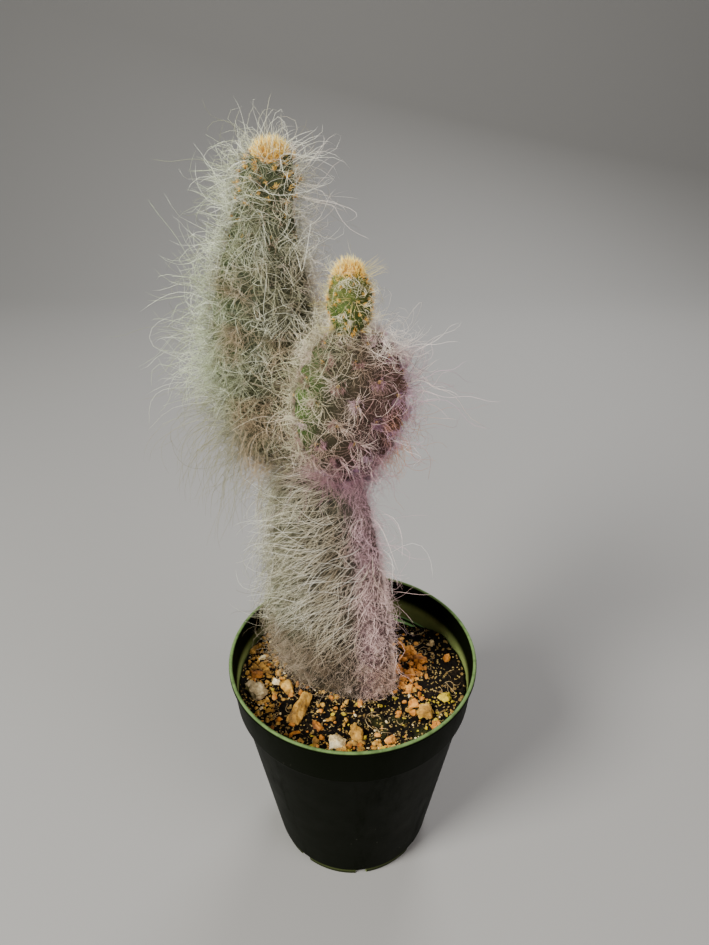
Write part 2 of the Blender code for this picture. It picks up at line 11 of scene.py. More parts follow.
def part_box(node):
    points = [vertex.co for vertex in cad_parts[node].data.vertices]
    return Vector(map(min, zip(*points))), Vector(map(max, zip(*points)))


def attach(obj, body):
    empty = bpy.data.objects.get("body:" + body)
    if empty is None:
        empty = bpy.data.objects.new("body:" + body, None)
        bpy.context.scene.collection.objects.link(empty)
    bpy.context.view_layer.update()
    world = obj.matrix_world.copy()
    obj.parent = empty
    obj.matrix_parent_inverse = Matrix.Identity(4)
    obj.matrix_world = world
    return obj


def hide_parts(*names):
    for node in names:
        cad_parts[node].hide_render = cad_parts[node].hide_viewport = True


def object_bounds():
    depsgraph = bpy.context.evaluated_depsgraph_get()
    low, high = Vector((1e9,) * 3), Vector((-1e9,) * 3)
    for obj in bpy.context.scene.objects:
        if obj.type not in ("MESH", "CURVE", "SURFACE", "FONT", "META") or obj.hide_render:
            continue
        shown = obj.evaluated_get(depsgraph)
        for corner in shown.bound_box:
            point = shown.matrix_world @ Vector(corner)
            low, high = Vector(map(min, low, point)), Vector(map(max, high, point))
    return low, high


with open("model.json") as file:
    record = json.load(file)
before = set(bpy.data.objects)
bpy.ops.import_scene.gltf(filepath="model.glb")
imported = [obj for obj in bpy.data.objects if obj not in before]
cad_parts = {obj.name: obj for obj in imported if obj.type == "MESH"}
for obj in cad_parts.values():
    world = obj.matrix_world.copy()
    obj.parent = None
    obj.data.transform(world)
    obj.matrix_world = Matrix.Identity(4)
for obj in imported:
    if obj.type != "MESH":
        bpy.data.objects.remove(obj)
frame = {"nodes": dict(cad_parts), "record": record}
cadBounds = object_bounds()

mm = 0.001
up = np.array((0.0, 0.0, 1.0))


# small helpers

def meshObject(name, bm, look=None, smooth=True):
    mesh = bpy.data.meshes.new(name)
    bm.to_mesh(mesh)
    bm.free()
    obj = bpy.data.objects.new(name, mesh)
    bpy.context.scene.collection.objects.link(obj)
    if smooth:
        mesh.shade_smooth()
    if look:
        mesh.materials.append(look.material)
    return obj


def evaluated(obj):
    bpy.context.view_layer.update()
    return bpy.data.meshes.new_from_object(obj.evaluated_get(bpy.context.evaluated_depsgraph_get()))


def realised(obj):
    # the object's modifiers are applied to its mesh
    mesh = evaluated(obj)
    obj.modifiers.clear()
    obj.data = mesh


def finished(obj, slot, *nodes):
    # every piece rides on the only body
    if nodes:
        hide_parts(*nodes)
    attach(obj, "root")
    print(f"  {obj.name}: {sum(len(face.vertices) - 2 for face in obj.data.polygons)} triangles")


def pieceName(node, ending=""):
    first, *rest = node.split("_")
    return first + "".join(word.capitalize() for word in rest) + ending


def coordinates(mesh):
    flat = np.empty(len(mesh.vertices) * 3, np.float32)
    mesh.vertices.foreach_get("co", flat)
    return flat.reshape(-1, 3).astype(float)


def setCoordinates(mesh, points):
    mesh.vertices.foreach_set("co", points.astype(np.float32).ravel())
    mesh.update()


def unit(vectors):
    return vectors / np.maximum(np.linalg.norm(vectors, axis=-1, keepdims=True), 1e-12)


def turbulence(point, scale, octaves=3):
    return noise.fractal(Vector(point) / scale, 1.0, 2.0, octaves)


# shader maths written as plain sums

class Sock:
    def __init__(self, look, socket):
        self.look = look
        self.socket = socket

    def maths(self, operation, first, second):
        return self.look.node("ShaderNodeMath", {"operation": operation}, {0: first, 1: second})

    def __add__(self, other):
        return self.maths("ADD", self, other)

    def __mul__(self, other):
        return self.maths("MULTIPLY", self, other)

    def __sub__(self, other):
        return self.maths("SUBTRACT", self, other)

    def __rsub__(self, other):
        return self.maths("SUBTRACT", other, self)

    def __pow__(self, other):
        return self.maths("POWER", self, other)

    def __gt__(self, other):
        return self.maths("GREATER_THAN", self, other)

    __radd__ = __add__
    __rmul__ = __mul__


class Look:
    def __init__(self, name, roughness=0.5, specular=0.5):
        self.material = bpy.data.materials.new(name)
        self.material.use_nodes = True
        self.tree = self.material.node_tree
        self.shader = self.tree.nodes["Principled BSDF"]
        self.shader.inputs["Roughness"].default_value = roughness
        self.shader.inputs["Specular IOR Level"].default_value = specular
        self.place = self.node("ShaderNodeTexCoord", {}, {}, "Object")

    def node(self, kind, settings, inputs, output=0):
        made = self.tree.nodes.new(kind)
        for title, value in settings.items():
            if title == "stops":
                ramp = made.color_ramp.elements
                ramp[0].position, ramp[-1].position = value[0][0], value[-1][0]
                for spot, _ in value[1:-1]:
                    ramp.new(spot)
                for element, (_, colour) in zip(ramp, value):
                    element.color = (*colour, 1)
            else:
                setattr(made, title, value)
        for title, value in inputs.items():
            if isinstance(value, Sock):
                self.tree.links.new(value.socket, made.inputs[title])
            elif isinstance(value, tuple) and len(made.inputs[title].default_value) == 4:
                made.inputs[title].default_value = (*value, 1)
            else:
                made.inputs[title].default_value = value
        return Sock(self, made.outputs[output])

    def noise(self, scale, detail=3, roughness=0.55, place=None):
        values = {"Vector": place or self.place, "Scale": scale, "Detail": detail, "Roughness": roughness}
        return self.node("ShaderNodeTexNoise", {}, values)

    def cells(self, scale, output="Distance"):
        return self.node("ShaderNodeTexVoronoi", {}, {"Vector": self.place, "Scale": scale}, output)

    def moved(self, place, title, value):
        # title: Scale or Rotation
        return self.node("ShaderNodeMapping", {}, {"Vector": place, title: value})

    def ramp(self, factor, *stops):
        return self.node("ShaderNodeValToRGB", {"stops": stops}, {"Fac": factor})

    def span(self, value, low, high, kind="LINEAR"):
        # 0 at low and 1 at high
        values = {"Value": value, "From Min": low, "From Max": high}
        return self.node("ShaderNodeMapRange", {"interpolation_type": kind}, values)

    def fade(self, value, low, high):
        return self.span(value, low, high, "SMOOTHSTEP")

    def mix(self, factor, first, second):
        return self.node("ShaderNodeMix", {"data_type": "RGBA"}, {0: factor, 6: first, 7: second}, 2)

    def axis(self, letter):
        return self.node("ShaderNodeSeparateXYZ", {}, {0: self.place}, letter)

    def attribute(self, name):
        return self.node("ShaderNodeAttribute", {"attribute_name": name}, {}, "Fac")

    def feed(self, title, sock):
        self.tree.links.new(sock.socket, self.shader.inputs[title])

    def bump(self, height, distance, strength=1.0):
        values = {"Height": height, "Distance": distance, "Strength": strength}
        self.feed("Normal", self.node("ShaderNodeBump", {}, values))


# the camera stands where the photograph was taken from

camera = {
    "place": (0.8 * mm, -235.3 * mm, 339.2 * mm),
    "pitch": 59.8,
    "focal": 27.09,
    "sensor": 36,
    "clipStart": 10 * mm,
}


def setCamera():
    data = bpy.data.cameras.new("photoCamera")
    data.sensor_width = camera["sensor"]
    data.lens = camera["focal"]
    data.clip_start = camera["clipStart"]
    obj = bpy.data.objects.new("photoCamera", data)
    obj.location = camera["place"]
    obj.rotation_euler = (math.radians(camera["pitch"]), 0, 0)
    bpy.context.scene.collection.objects.link(obj)
    bpy.context.scene.camera = obj
    print("camera set")


# studio: a pale floor that sweeps up behind the plant, and three soft lights

studio = {
    "floor": (0.275, 0.27, 0.26),
    "mottle": 0.12,
    "reach": 6,
    "sweepStart": 0.9,
    "sweepRadius": 0.7,
    "sweepSteps": 24,
    "wallHeight": 2,
    "world": 0.18,
    "sky": (0.95, 0.97, 1.0, 1),
    "aim": (-0.01, 0, 0.17),
    # name, place, size, energy, colour
    "lights": (
        ("key", (-0.75, -0.62, 0.95), 0.5, 32, (1.0, 0.985, 0.93)),
        ("fill", (0.70, -0.62, 0.85), 0.7, 7.5, (1.0, 0.93, 0.93)),
        ("rim", (0.30, 0.95, 0.85), 0.6, 10, (1.0, 1.0, 1.0)),
    ),
}


def floorLook():
    look = Look("paleFloor", roughness=0.75)
    darker = tuple(part * 0.9 for part in studio["floor"])
    look.feed("Base Color", look.mix(look.noise(3, 4) * studio["mottle"], studio["floor"], darker))
    return look


def extruded(bm, edges, move):
    # the edges of the new row, moved away from the old one
    out = bmesh.ops.extrude_edge_only(bm, edges=edges)["geom"]
    row = [item for item in out if isinstance(item, bmesh.types.BMVert)]
    bmesh.ops.translate(bm, verts=row, vec=move)
    return [item for item in out if isinstance(item, bmesh.types.BMEdge)]


def makeSweep():
    start, radius, reach = studio["sweepStart"], studio["sweepRadius"], studio["reach"]
    bm = bmesh.new()
    front = bm.edges.new((bm.verts.new((-reach, -reach, 0)), bm.verts.new((reach, -reach, 0))))
    edges = extruded(bm, [front], (0, reach + start, 0))
    bend = bmesh.ops.spin(
        bm, geom=edges, cent=(0, start, radius), axis=(1, 0, 0), angle=math.pi / 2, steps=studio["sweepSteps"]
    )
    edges = [item for item in bend["geom_last"] if isinstance(item, bmesh.types.BMEdge)]
    extruded(bm, edges, (0, 0, studio["wallHeight"]))
    bmesh.ops.remove_doubles(bm, verts=bm.verts, dist=0.1 * mm)
    bmesh.ops.recalc_face_normals(bm, faces=bm.faces)
    meshObject("sweep", bm, floorLook())


def makeLights():
    for name, place, size, energy, colour in studio["lights"]:
        data = bpy.data.lights.new(name, "AREA")
        data.shape = "DISK"
        data.size = size
        data.energy = energy
        data.color = colour
        obj = bpy.data.objects.new(name, data)
        obj.location = place
        aim = Vector(studio["aim"]) - Vector(place)
        obj.rotation_euler = aim.to_track_quat("-Z", "Y").to_euler()
        bpy.context.scene.collection.objects.link(obj)
    world = bpy.data.worlds.new("studioWorld")
    world.use_nodes = True
    background = world.node_tree.nodes["Background"]
    background.inputs["Color"].default_value = studio["sky"]
    background.inputs["Strength"].default_value = studio["world"]
    bpy.context.scene.world = world
    print("studio set")


# the pot, turned from one profile, with arched drain holes cut through its foot

pot = {
    "collarHeight": 20.5 * mm,
    "collarRadius": 52.7 * mm,
    "bodyRadius": 50.8 * mm,
    "footRadius": 36.9 * mm,
    "footHeight": 5 * mm,
    "footRing": 27 * mm,  # the inside of the ring that it stands on
    "middleDisc": 8 * mm,
    "groove": 1.6 * mm,  # the depth of the underside between ring and disc
    "wall": 1.2 * mm,
    "floor": 3.2 * mm,
    "lipRoll": 0.75 * mm,
    "lipMiddle": 0.85 * mm,
    "steps": 144,
    "drains": 8,
    "drainTurn": 6,
    "drainRadius": 2.9 * mm,
    "drainHeight": 1.5 * mm,
    "drainDepth": 14 * mm,
    # outside and inside are one plastic: the outside is darkened to near black as painted shade, the inside
    # made far lighter as painted light
    "outside": (0.0022, 0.0032, 0.0009),
    "worn": (0.0035, 0.0045, 0.002),
    "inside": (0.190, 0.235, 0.072),
    # a painted highlight in bright green on the ledge inside the shoulder
    "ledge": (0.260, 0.560, 0.190),
    "ledgeFrom": (30 * mm, 38 * mm),  # the painted highlight on the ledge shows only at the back
    # painted highlight: the lighter green along the top of the lip
    "lip": (0.125, 0.200, 0.068),
    "dust": (0.10, 0.095, 0.075),
    "specks": 0.5,
}


def bodyRadius(z):
    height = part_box("pot")[1][2]
    share = (z - pot["footHeight"]) / (height - pot["collarHeight"] - pot["footHeight"])
    low = pot["footRadius"] + 0.8 * mm
    return low + share * (pot["bodyRadius"] - low)


def potOutline():
    # half of a cut through the pot, from the middle of its floor over the lip to the middle of its underside
    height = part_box("pot")[1][2]
    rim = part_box("pot")[1][0]
    wall, floor, roll = pot["wall"], pot["floor"], pot["lipRoll"]
    collar, body, foot = pot["collarRadius"], pot["bodyRadius"], pot["footRadius"]
    shoulder = height - pot["collarHeight"]
    outline = [
        (0, floor),
        (bodyRadius(floor) - 2 * wall, floor),
        (bodyRadius(floor + wall) - wall, floor + wall),
        (bodyRadius(shoulder - 1.4 * mm) - wall, shoulder - 1.4 * mm),
        (bodyRadius(shoulder) - wall + 0.7 * mm, shoulder - 0.4 * mm),
        (collar - wall, shoulder),
        (rim - 2.1 * mm, height - 2.6 * mm),
    ]
    for step in range(7):  # the rolled top of the lip
        angle = math.pi * (1 - step / 6)
        radius = rim - pot["lipMiddle"] + roll * math.cos(angle)
        outline.append((radius, height - roll * (1 - math.sin(angle))))
    return outline + [
        (rim, height - 1.1 * mm),
        (rim, height - 2.1 * mm),
        (rim - 0.25 * mm, height - 2.5 * mm),
        (rim - 0.9 * mm, height - 2.7 * mm),
        (rim - 1.0 * mm, height - 3.2 * mm),
        (collar + 0.03 * mm, shoulder + 1.0 * mm),
        (collar - 0.15 * mm, shoulder + 0.35 * mm),
        (collar - 0.6 * mm, shoulder),
        (body + 0.3 * mm, shoulder - 0.2 * mm),
        (body, shoulder - 0.7 * mm),
        (bodyRadius(pot["footHeight"]), pot["footHeight"]),
        (foot, pot["footHeight"] - 0.6 * mm),
        (foot - 0.3 * mm, 0.9 * mm),
        (foot - 0.6 * mm, 0.25 * mm),
        (foot - 1.2 * mm, 0),
        (pot["footRing"], 0),
        (pot["footRing"] - mm, pot["groove"]),
        (pot["middleDisc"] + mm, pot["groove"]),
        (pot["middleDisc"], 0),
        (0, 0),
    ]


def turned(outline, steps):
    bm = bmesh.new()
    verts = [bm.verts.new((radius, 0, z)) for radius, z in outline]
    edges = [bm.edges.new(pair) for pair in zip(verts, verts[1:])]
    bmesh.ops.spin(
        bm, geom=verts + edges, cent=(0, 0, 0), axis=(0, 0, 1), angle=math.tau, steps=steps, use_merge=True
    )
    bmesh.ops.remove_doubles(bm, verts=bm.verts, dist=0.00001)
    bmesh.ops.recalc_face_normals(bm, faces=bm.faces)
    return bm


def potLook():
    look = Look("potPlastic", specular=0.014)
    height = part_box("pot")[1][2]
    shoulder = height - pot["collarHeight"]
    x, y, z = look.axis("X"), look.axis("Y"), look.axis("Z")
    radius = (x * x + y * y) ** 0.5
    slope = (pot["bodyRadius"] - bodyRadius(0)) / shoulder
    outerBody = look.fade(radius - z * slope, bodyRadius(0) - 1.0 * mm, bodyRadius(0) - 0.4 * mm)
    outerCollar = look.fade(radius, pot["collarRadius"] - 0.7 * mm, pot["collarRadius"] - 0.3 * mm)
    inCollar = look.fade(z, shoulder - 0.2 * mm, shoulder + 0.2 * mm)
    outer = outerBody * (1 - inCollar) + outerCollar * inCollar
    # painted light and shade: inner walls take the much lighter inside colour, outer walls the near-black
    # outside colour
    plastic = look.mix(outer, pot["inside"], pot["outside"])
    # painted highlight: a bright green on the ledge inside the shoulder, shown only at the back
    above = look.fade(z, shoulder - 1.9 * mm, shoulder - 1.2 * mm)
    ledge = above * look.fade(z, shoulder + 0.8 * mm, shoulder + 0.1 * mm)
    ledge = ledge * (0.05 + look.fade(y, *pot["ledgeFrom"]) * 0.95)
    plastic = look.mix(ledge * (1 - outer), plastic, pot["ledge"])
    mottle = look.noise(38, 5, 0.65)
    plastic = look.mix(look.fade(mottle, 0.35, 0.75) * 0.3, plastic, pot["worn"])
    # painted highlight: the top of the rolled lip turns a lighter green, broken into patches by noise
    lip = look.fade(z, height - pot["lipMiddle"], height - 0.25 * mm)
    highlightPatches = look.noise(260, 3, 0.6)
    plastic = look.mix(lip * (0.6 + look.fade(highlightPatches, 0.3, 0.6) * 0.4), plastic, pot["lip"])
    # a faint film of dust, thicker under the collar, and a few specks of grit
    film = look.fade(look.noise(52, 6, 0.7, look.moved(look.place, "Scale", (1, 1, 0.2))), 0.5, 0.8)
    specks = look.fade(look.cells(330), 0.13, 0.07) * look.fade(look.noise(40), 0.56, 0.62)
    dust = film * (look.fade(z, 50 * mm, shoulder) * 0.006 + 0.0015) + specks * pot["specks"]
    plastic = look.mix(dust, plastic, pot["dust"])
    look.feed("Base Color", plastic)
    look.feed("Roughness", 0.40 + film * 0.22 + look.noise(90) * 0.14)
    look.bump(look.noise(650, 2) * 0.5 + look.noise(30, 2) * 0.8, 0.1 * mm, 0.4)
    return look


def makePot():
    obj = meshObject("potShell", turned(potOutline(), pot["steps"]))
    bm = bmesh.new()
    place = Matrix.Translation((pot["footRadius"] - mm, 0, pot["drainHeight"]))
    place = place @ Matrix.Rotation(math.pi / 2, 4, "Y")
    for index in range(pot["drains"]):
        azimuth = math.radians(pot["drainTurn"]) + index * math.tau / pot["drains"]
        bmesh.ops.create_cone(
            bm,
            cap_ends=True,
            segments=28,
            radius1=pot["drainRadius"],
            radius2=pot["drainRadius"],
            depth=pot["drainDepth"],
            matrix=Matrix.Rotation(azimuth, 4, "Z") @ place,
        )
    cutter = meshObject("drainCutter", bm, smooth=False)
    step = obj.modifiers.new("drains", "BOOLEAN")
    step.operation = "DIFFERENCE"
    step.object = cutter
    realised(obj)
    bpy.data.objects.remove(cutter)
    obj.data.materials.clear()
    obj.data.materials.append(potLook().material)
    obj.data.shade_smooth()
    obj.data.set_sharp_from_angle(angle=math.radians(40))
    finished(obj, "pot_plastic", "pot")
    print("pot made")


# the potting mix: a dished crumbly surface, sunk at one side, with grit, fibres and stones

soil = {
    "level": 91.5 * mm,
    "rise": 3.6 * mm,
    "roughness": 0.7 * mm,
    "lumpSize": 7 * mm,
    "radius": 51.1 * mm,
    "hollowAzimuth": 59,
    "hollowSpread": 17,
    "hollowStart": 0.55,  # as a share of the radius
    "hollowDrop": 7.5 * mm,
    "hollowDraw": 0.045,  # how far the mix has drawn back from the wall there
    "rings": 60,
    "steps": 150,
    "crumb": 0.8 * mm,
    "crumbSizes": (3.6 * mm, 1.5 * mm),
    "underShoulder": 1.6 * mm,
    "corner": 2 * mm,
    "wallGap": 0.3 * mm,
    # a ramp from wet peat to dry fibre, then flecks: cells per metre, the share that stays bare, colour
    "peat": ((0.42, (0.0012, 0.0008, 0.0005)), (0.54, (0.0042, 0.0027, 0.0014)),
             (0.63, (0.0200, 0.0120, 0.0048)), (0.72, (0.1200, 0.0800, 0.0320))),
    "flecks": ((760, 0.96, (0.26, 0.16, 0.05)), (1500, 0.93, (0.45, 0.31, 0.10))),
    "moss": (0.060, 0.065, 0.012),
}


def hollow(x, y):
    turn = (math.atan2(y, x) - math.radians(soil["hollowAzimuth"]) + math.pi) % math.tau - math.pi
    reach = max(0.0, math.hypot(x, y) / soil["radius"] - soil["hollowStart"]) / (1 - soil["hollowStart"])
    return reach * math.exp(-((turn / math.radians(soil["hollowSpread"])) ** 2))


def soilHeight(x, y):
    dish = soil["rise"] * (math.hypot(x, y) / soil["radius"]) ** 2
    lumps = soil["roughness"] * noise.noise(Vector((x, y, 0.3)) / soil["lumpSize"])
    return soil["level"] + dish + lumps - soil["hollowDrop"] * hollow(x, y)


def soilLook():
    look = Look("pottingMix", specular=0.12)
    broad = look.noise(75, 5, 0.7)
    fine = look.noise(620, 4, 0.7)
    peat = look.ramp(broad * 0.5 + fine * 0.5, *soil["peat"])
    for scale, bare, colour in soil["flecks"]:
        pick = look.node("ShaderNodeSeparateColor", {}, {0: look.cells(scale, "Color")}, "Red")
        peat = look.mix((pick > bare) * 0.75, peat, colour)
    moss = look.fade(look.noise(70), 0.55, 0.68) * look.fade(look.axis("Y"), -8 * mm, -28 * mm)
    peat = look.mix(moss * 0.3, peat, soil["moss"])
    look.feed("Base Color", peat)
    look.feed("Roughness", 0.75 + fine * 0.25)
    look.bump(fine + look.cells(520) * 0.6, 0.8 * mm, 0.9)
    return look


stoneColours = {
    # slot: the material's name, and its pale, middle and dark colour
    "ochre": ("ochreGrit", (0.82, 0.52, 0.13), (0.42, 0.215, 0.032), (0.070, 0.030, 0.005)),
    "amber": ("amberGrit", (0.86, 0.42, 0.09), (0.48, 0.175, 0.018), (0.090, 0.026, 0.003)),
    "grey_stone": ("greyStone", (0.80, 0.66, 0.40), (0.50, 0.38, 0.19), (0.16, 0.10, 0.04)),
    "yellow_stone": ("yellowStone", (0.82, 0.64, 0.06), (0.50, 0.36, 0.020), (0.12, 0.09, 0.006)),
    "perlite": ("perliteGrit", (0.94, 0.85, 0.58), (0.74, 0.57, 0.27), (0.24, 0.13, 0.04)),
    "fibre": ("rootFibre", (0.80, 0.62, 0.34), (0.50, 0.34, 0.15), (0.16, 0.09, 0.03)),
}


def stoneLook(name, pale, middle, dark):
    look = Look(name, specular=0.35)
    tone = look.noise(240, 4, 0.65)
    patch = look.noise(70, 3)
    colour = look.ramp(tone * 0.5 + patch * 0.5, (0.36, dark), (0.50, middle), (0.64, pale))
    dirt = look.fade(look.noise(150, 5, 0.75), 0.53, 0.68)
    colour = look.mix(dirt * 0.7, colour, tuple(part * 0.16 for part in middle))
    look.feed("Base Color", colour)
    look.feed("Roughness", 0.6 + tone * 0.35)
    look.bump(look.cells(780) * 0.7 + look.noise(900, 3) * 0.5, 0.4 * mm, 0.9)
    return look


def makeSoil(looks):
    # the side of the mix follows the pot's wall up to just under the shoulder, and its top is dished
    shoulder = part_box("pot")[1][2] - pot["collarHeight"] - soil["underShoulder"]
    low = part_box("soil")[0][2]
    corner, gap = low + soil["corner"], pot["wall"] + soil["wallGap"]
    outline = [(soil["radius"] * ring / soil["rings"], soil["level"]) for ring in range(soil["rings"] + 1)]
    outline += [
        (bodyRadius(shoulder) - pot["wall"] - 0.2 * mm, shoulder),
        (bodyRadius(corner) - gap, corner),
        (bodyRadius(low) - pot["wall"] - gap, low),
        (0, low),
    ]
    obj = meshObject("soilMass", turned(outline, soil["steps"]), looks["potting_mix"])
    points = coordinates(obj.data)
    large, small = soil["crumbSizes"]
    for point in points:
        if abs(point[2] - soil["level"]) > 1e-6:  # only the flat top is shaped
            continue
        point[:2] *= 1 - soil["hollowDraw"] * hollow(point[0], point[1])
        x, y = point[:2]
        crumbs = turbulence((x, y, 1.7), large, 4) + 0.8 * turbulence((x, y, 3.1), small, 2)
        point[2] = soilHeight(x, y) + soil["crumb"] * (crumbs - 0.3)
    setCoordinates(obj.data, points)
    finished(obj, "potting_mix", "soil")


def chipped(points, cuts, reach, draw):
    # flat faces, as on a broken chip: what stands past a random plane is pressed back to it
    for _ in range(cuts):
        facing = unit(np.array([draw.gauss(0, 1) for _ in range(3)]))
        over = points @ facing - draw.uniform(*reach)
        points = points - facing * np.maximum(0, over)[:, None]
    return points


def copied(mesh, count):
    # one shape, doubled until there are enough of it, with its points in the same order in each copy
    bm = bmesh.new()
    bm.from_mesh(mesh)
    sizes = len(bm.verts), len(bm.edges), len(bm.faces)
    have = 1
    while have < count:
        more = min(have, count - have)
        part = []
        for sequence, size in zip((bm.verts, bm.edges, bm.faces), sizes):
            sequence.ensure_lookup_table()
            part += sequence[: more * size]
        bmesh.ops.duplicate(bm, geom=part)
        have += more
    return bm


grit = {
    # heap: its middle and its reach; front: the share along the pot's front, and from which y; sizes in mm
    "peatCrumbs": {"slot": "potting_mix", "count": 1200, "sizes": (0.4, 1.3), "everywhere": 1},
    "amberGrit": {"slot": "amber", "count": 290, "sizes": (0.5, 1.9), "everywhere": 0.025,
                  "heap": ((26, 5), (6, 16)), "front": (0.35, -38)},
    "amberFlakes": {"slot": "amber", "count": 60, "sizes": (1.5, 2.7), "everywhere": 0.02,
                    "heap": ((28, 6), (6, 15))},
    "ochreGrit": {"slot": "ochre", "count": 560, "sizes": (0.4, 1.9), "everywhere": 0.012, "left": 0.16,
                  "heap": ((-40, 2), (9, 28)), "front": (0.9, -36)},
    "ochreFlakes": {"slot": "ochre", "count": 60, "sizes": (1.3, 2.3), "everywhere": 0.04,
                    "heap": ((-43, 6), (7, 24)), "front": (0.5, -40)},
    "paleGrit": {"slot": "perlite", "count": 380, "sizes": (0.22, 0.9), "everywhere": 0.16,
                 "heap": ((-40, 2), (10, 24)), "front": (0.5, -34)},
    "yellowGrit": {"slot": "yellow_stone", "count": 190, "sizes": (0.3, 1.5), "everywhere": 0.04,
                   "heap": ((40, -18), (9, 8)), "front": (0.35, -38)},
}
grains = {
    "round": ("peatCrumbs", "paleGrit"),
    "cuts": 7,
    "roundCuts": 3,
    "tilt": 0.6,
    # as shares of a grain's size; rise: how far its middle lies above the mix
    "rough": (0.82, 1.18),
    "cutReach": (0.4, 0.8),
    "long": (0.8, 1.35),
    "broad": (0.6, 1),
    "high": (0.35, 0.85),
    "rise": 0.2,
    "bareFrom": (30 * mm, -12 * mm),  # few grains lie on the peat at the right and back
    "bareShare": 0.3,
}


def near(x, y, middle, reach):
    # 1 at the middle, falling off over the reach
    along = (x - middle[0] * mm) / (reach[0] * mm)
    back = (y - middle[1] * mm) / (reach[1] * mm)
    return math.exp(-(along**2) - back**2)


def gathers(kind, x, y):
    # how likely a grain of this kind stays where it falls
    share = kind["everywhere"] + kind.get("left", 0) * (x < 0)
    if "heap" in kind:
        share += near(x, y, *kind["heap"])
    if "front" in kind:
        share += kind["front"][0] * (y < kind["front"][1] * mm)
    if x > grains["bareFrom"][0] and y > grains["bareFrom"][1]:
        share *= grains["bareShare"]
    return share


def scattered(radius, draw):
    # an even spread over the round top of the mix
    radius = radius * math.sqrt(draw.random())
    azimuth = draw.uniform(-math.pi, math.pi)
    return radius * math.cos(azimuth), radius * math.sin(azimuth)


def gritSpots(kind, draw):
    # places on the mix and sizes, without those under a stone or inside the plant
    boxes = list(stoneBoxes().values())
    small, large = kind["sizes"]
    spots = []
    for _ in range(kind["count"]):
        while True:
            x, y = scattered(soil["radius"] - 1.4 * mm, draw)
            if draw.random() < gathers(kind, x, y) and hollow(x, y) < 0.4:
                break
        size = (small + (large - small) * draw.random() ** 2) * mm
        spot = np.array((x, y, soilHeight(x, y) + grains["rise"] * size))
        under = any(np.linalg.norm(spot - (low + high) / 2) < max(high - low) * 0.42 for low, high in boxes)
        if not under and pads["pad_lower"].depth(spot[None], 0.3 * size)[0] > 1:
            spots.append((spot, size))
    return spots


def grain(isRound):
    # the points of one grain, and the mesh that its copies are made from
    bm = bmesh.new()
    if isRound:
        bmesh.ops.create_icosphere(bm, subdivisions=1, radius=1)
    else:
        bmesh.ops.create_uvsphere(bm, u_segments=7, v_segments=5, radius=1)
    mesh = bpy.data.meshes.new("grain")
    bm.to_mesh(mesh)
    bm.free()
    return coordinates(mesh), mesh


def makeGrit(looks):
    draw = random.Random(31)
    for name, kind in grit.items():
        isRound = name in grains["round"]
        cuts = grains["roundCuts" if isRound else "cuts"]
        ball, mesh = grain(isRound)
        spots = gritSpots(kind, draw)
        obj = meshObject(name, copied(mesh, len(spots)), looks[kind["slot"]], smooth=False)
        shapes = []
        for spot, size in spots:
            rough = np.array([draw.uniform(*grains["rough"]) for _ in ball])[:, None]
            shape = chipped(ball * rough, cuts, grains["cutReach"], draw)
            shape = shape * [draw.uniform(*grains[side]) for side in ("long", "broad", "high")]
            tilt = Matrix.Rotation(draw.gauss(0, grains["tilt"]), 3, "X")
            tumble = tilt @ Matrix.Rotation(draw.uniform(0, math.tau), 3, "Z")
            shapes.append(shape * size @ np.array(tumble).T + spot)
        setCoordinates(obj.data, np.concatenate(shapes))
        finished(obj, kind["slot"])
    print("grit scattered")


stones = {
    "kinds": ("stone_", "perlite_", "pumice_", "bark_"),
    "cuts": 14,
    "cutReach": (0.52, 0.90),
    "sharp": 38,
    "pitStart": 0.2,  # the higher, the fewer pits
    # as shares of a stone's smallest side
    "lump": 0.12,
    "lumpSize": 0.30,
    "pit": 0.18,
    "pitSize": 0.13,
    "wear": 0.01,
}


def stoneBoxes():
    names = [name for name in frame["nodes"] if name.startswith(stones["kinds"])]
    return {name: [np.array(corner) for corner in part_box(name)] for name in names}


def roundedStone(name, look):
    # the CAD stone with its corners rounded by subdivision
    bm = bmesh.new()
    bm.from_mesh(frame["nodes"][name].data)
    bmesh.ops.remove_doubles(bm, verts=bm.verts, dist=0.001 * mm)
    levels = 3 if len(bm.faces) < 40 else 2
    obj = meshObject(pieceName(name), bm, look)
    step = obj.modifiers.new("round", "SUBSURF")
    step.levels = step.render_levels = levels
    realised(obj)
    return obj


def makeStones(looks):
    draw = random.Random(77)
    slots = {record["node"]: record["material_slot"] for record in frame["record"]["subparts"]}
    for name, (low, high) in stoneBoxes().items():
        obj = roundedStone(name, looks[slots[name]])
        points = coordinates(obj.data)
        middle, half = (low + high) / 2, (high - low) / 2
        axes = np.linalg.svd(points - points.mean(0), full_matrices=False)[2]
        local = (points - middle) @ axes.T
        reach = np.abs(local).max(0)
        local = chipped(local / reach, stones["cuts"], stones["cutReach"], draw) * reach
        points = middle + local @ axes
        size = float(min(half)) * 2
        away = unit(points - middle)
        for index, point in enumerate(points):
            lump = stones["lump"] * turbulence(point, stones["lumpSize"] * size, 3)
            pit = max(0.0, noise.noise(Vector(point) / (stones["pitSize"] * size)) - stones["pitStart"])
            points[index] += away[index] * size * (lump - stones["pit"] * pit - stones["wear"])
        # back to the size and place of the CAD stone
        centre = (points.max(0) + points.min(0)) / 2
        points = middle + (points - centre) * (half / ((points.max(0) - points.min(0)) / 2))
        setCoordinates(obj.data, points)
        obj.data.shade_smooth()
        obj.data.set_sharp_from_angle(angle=math.radians(stones["sharp"]))
        finished(obj, slots[name], name)
    print("stones made")


# the pads: flattened, swelling stem joints, in numpy so that thousands of hairs can ask where the skin is

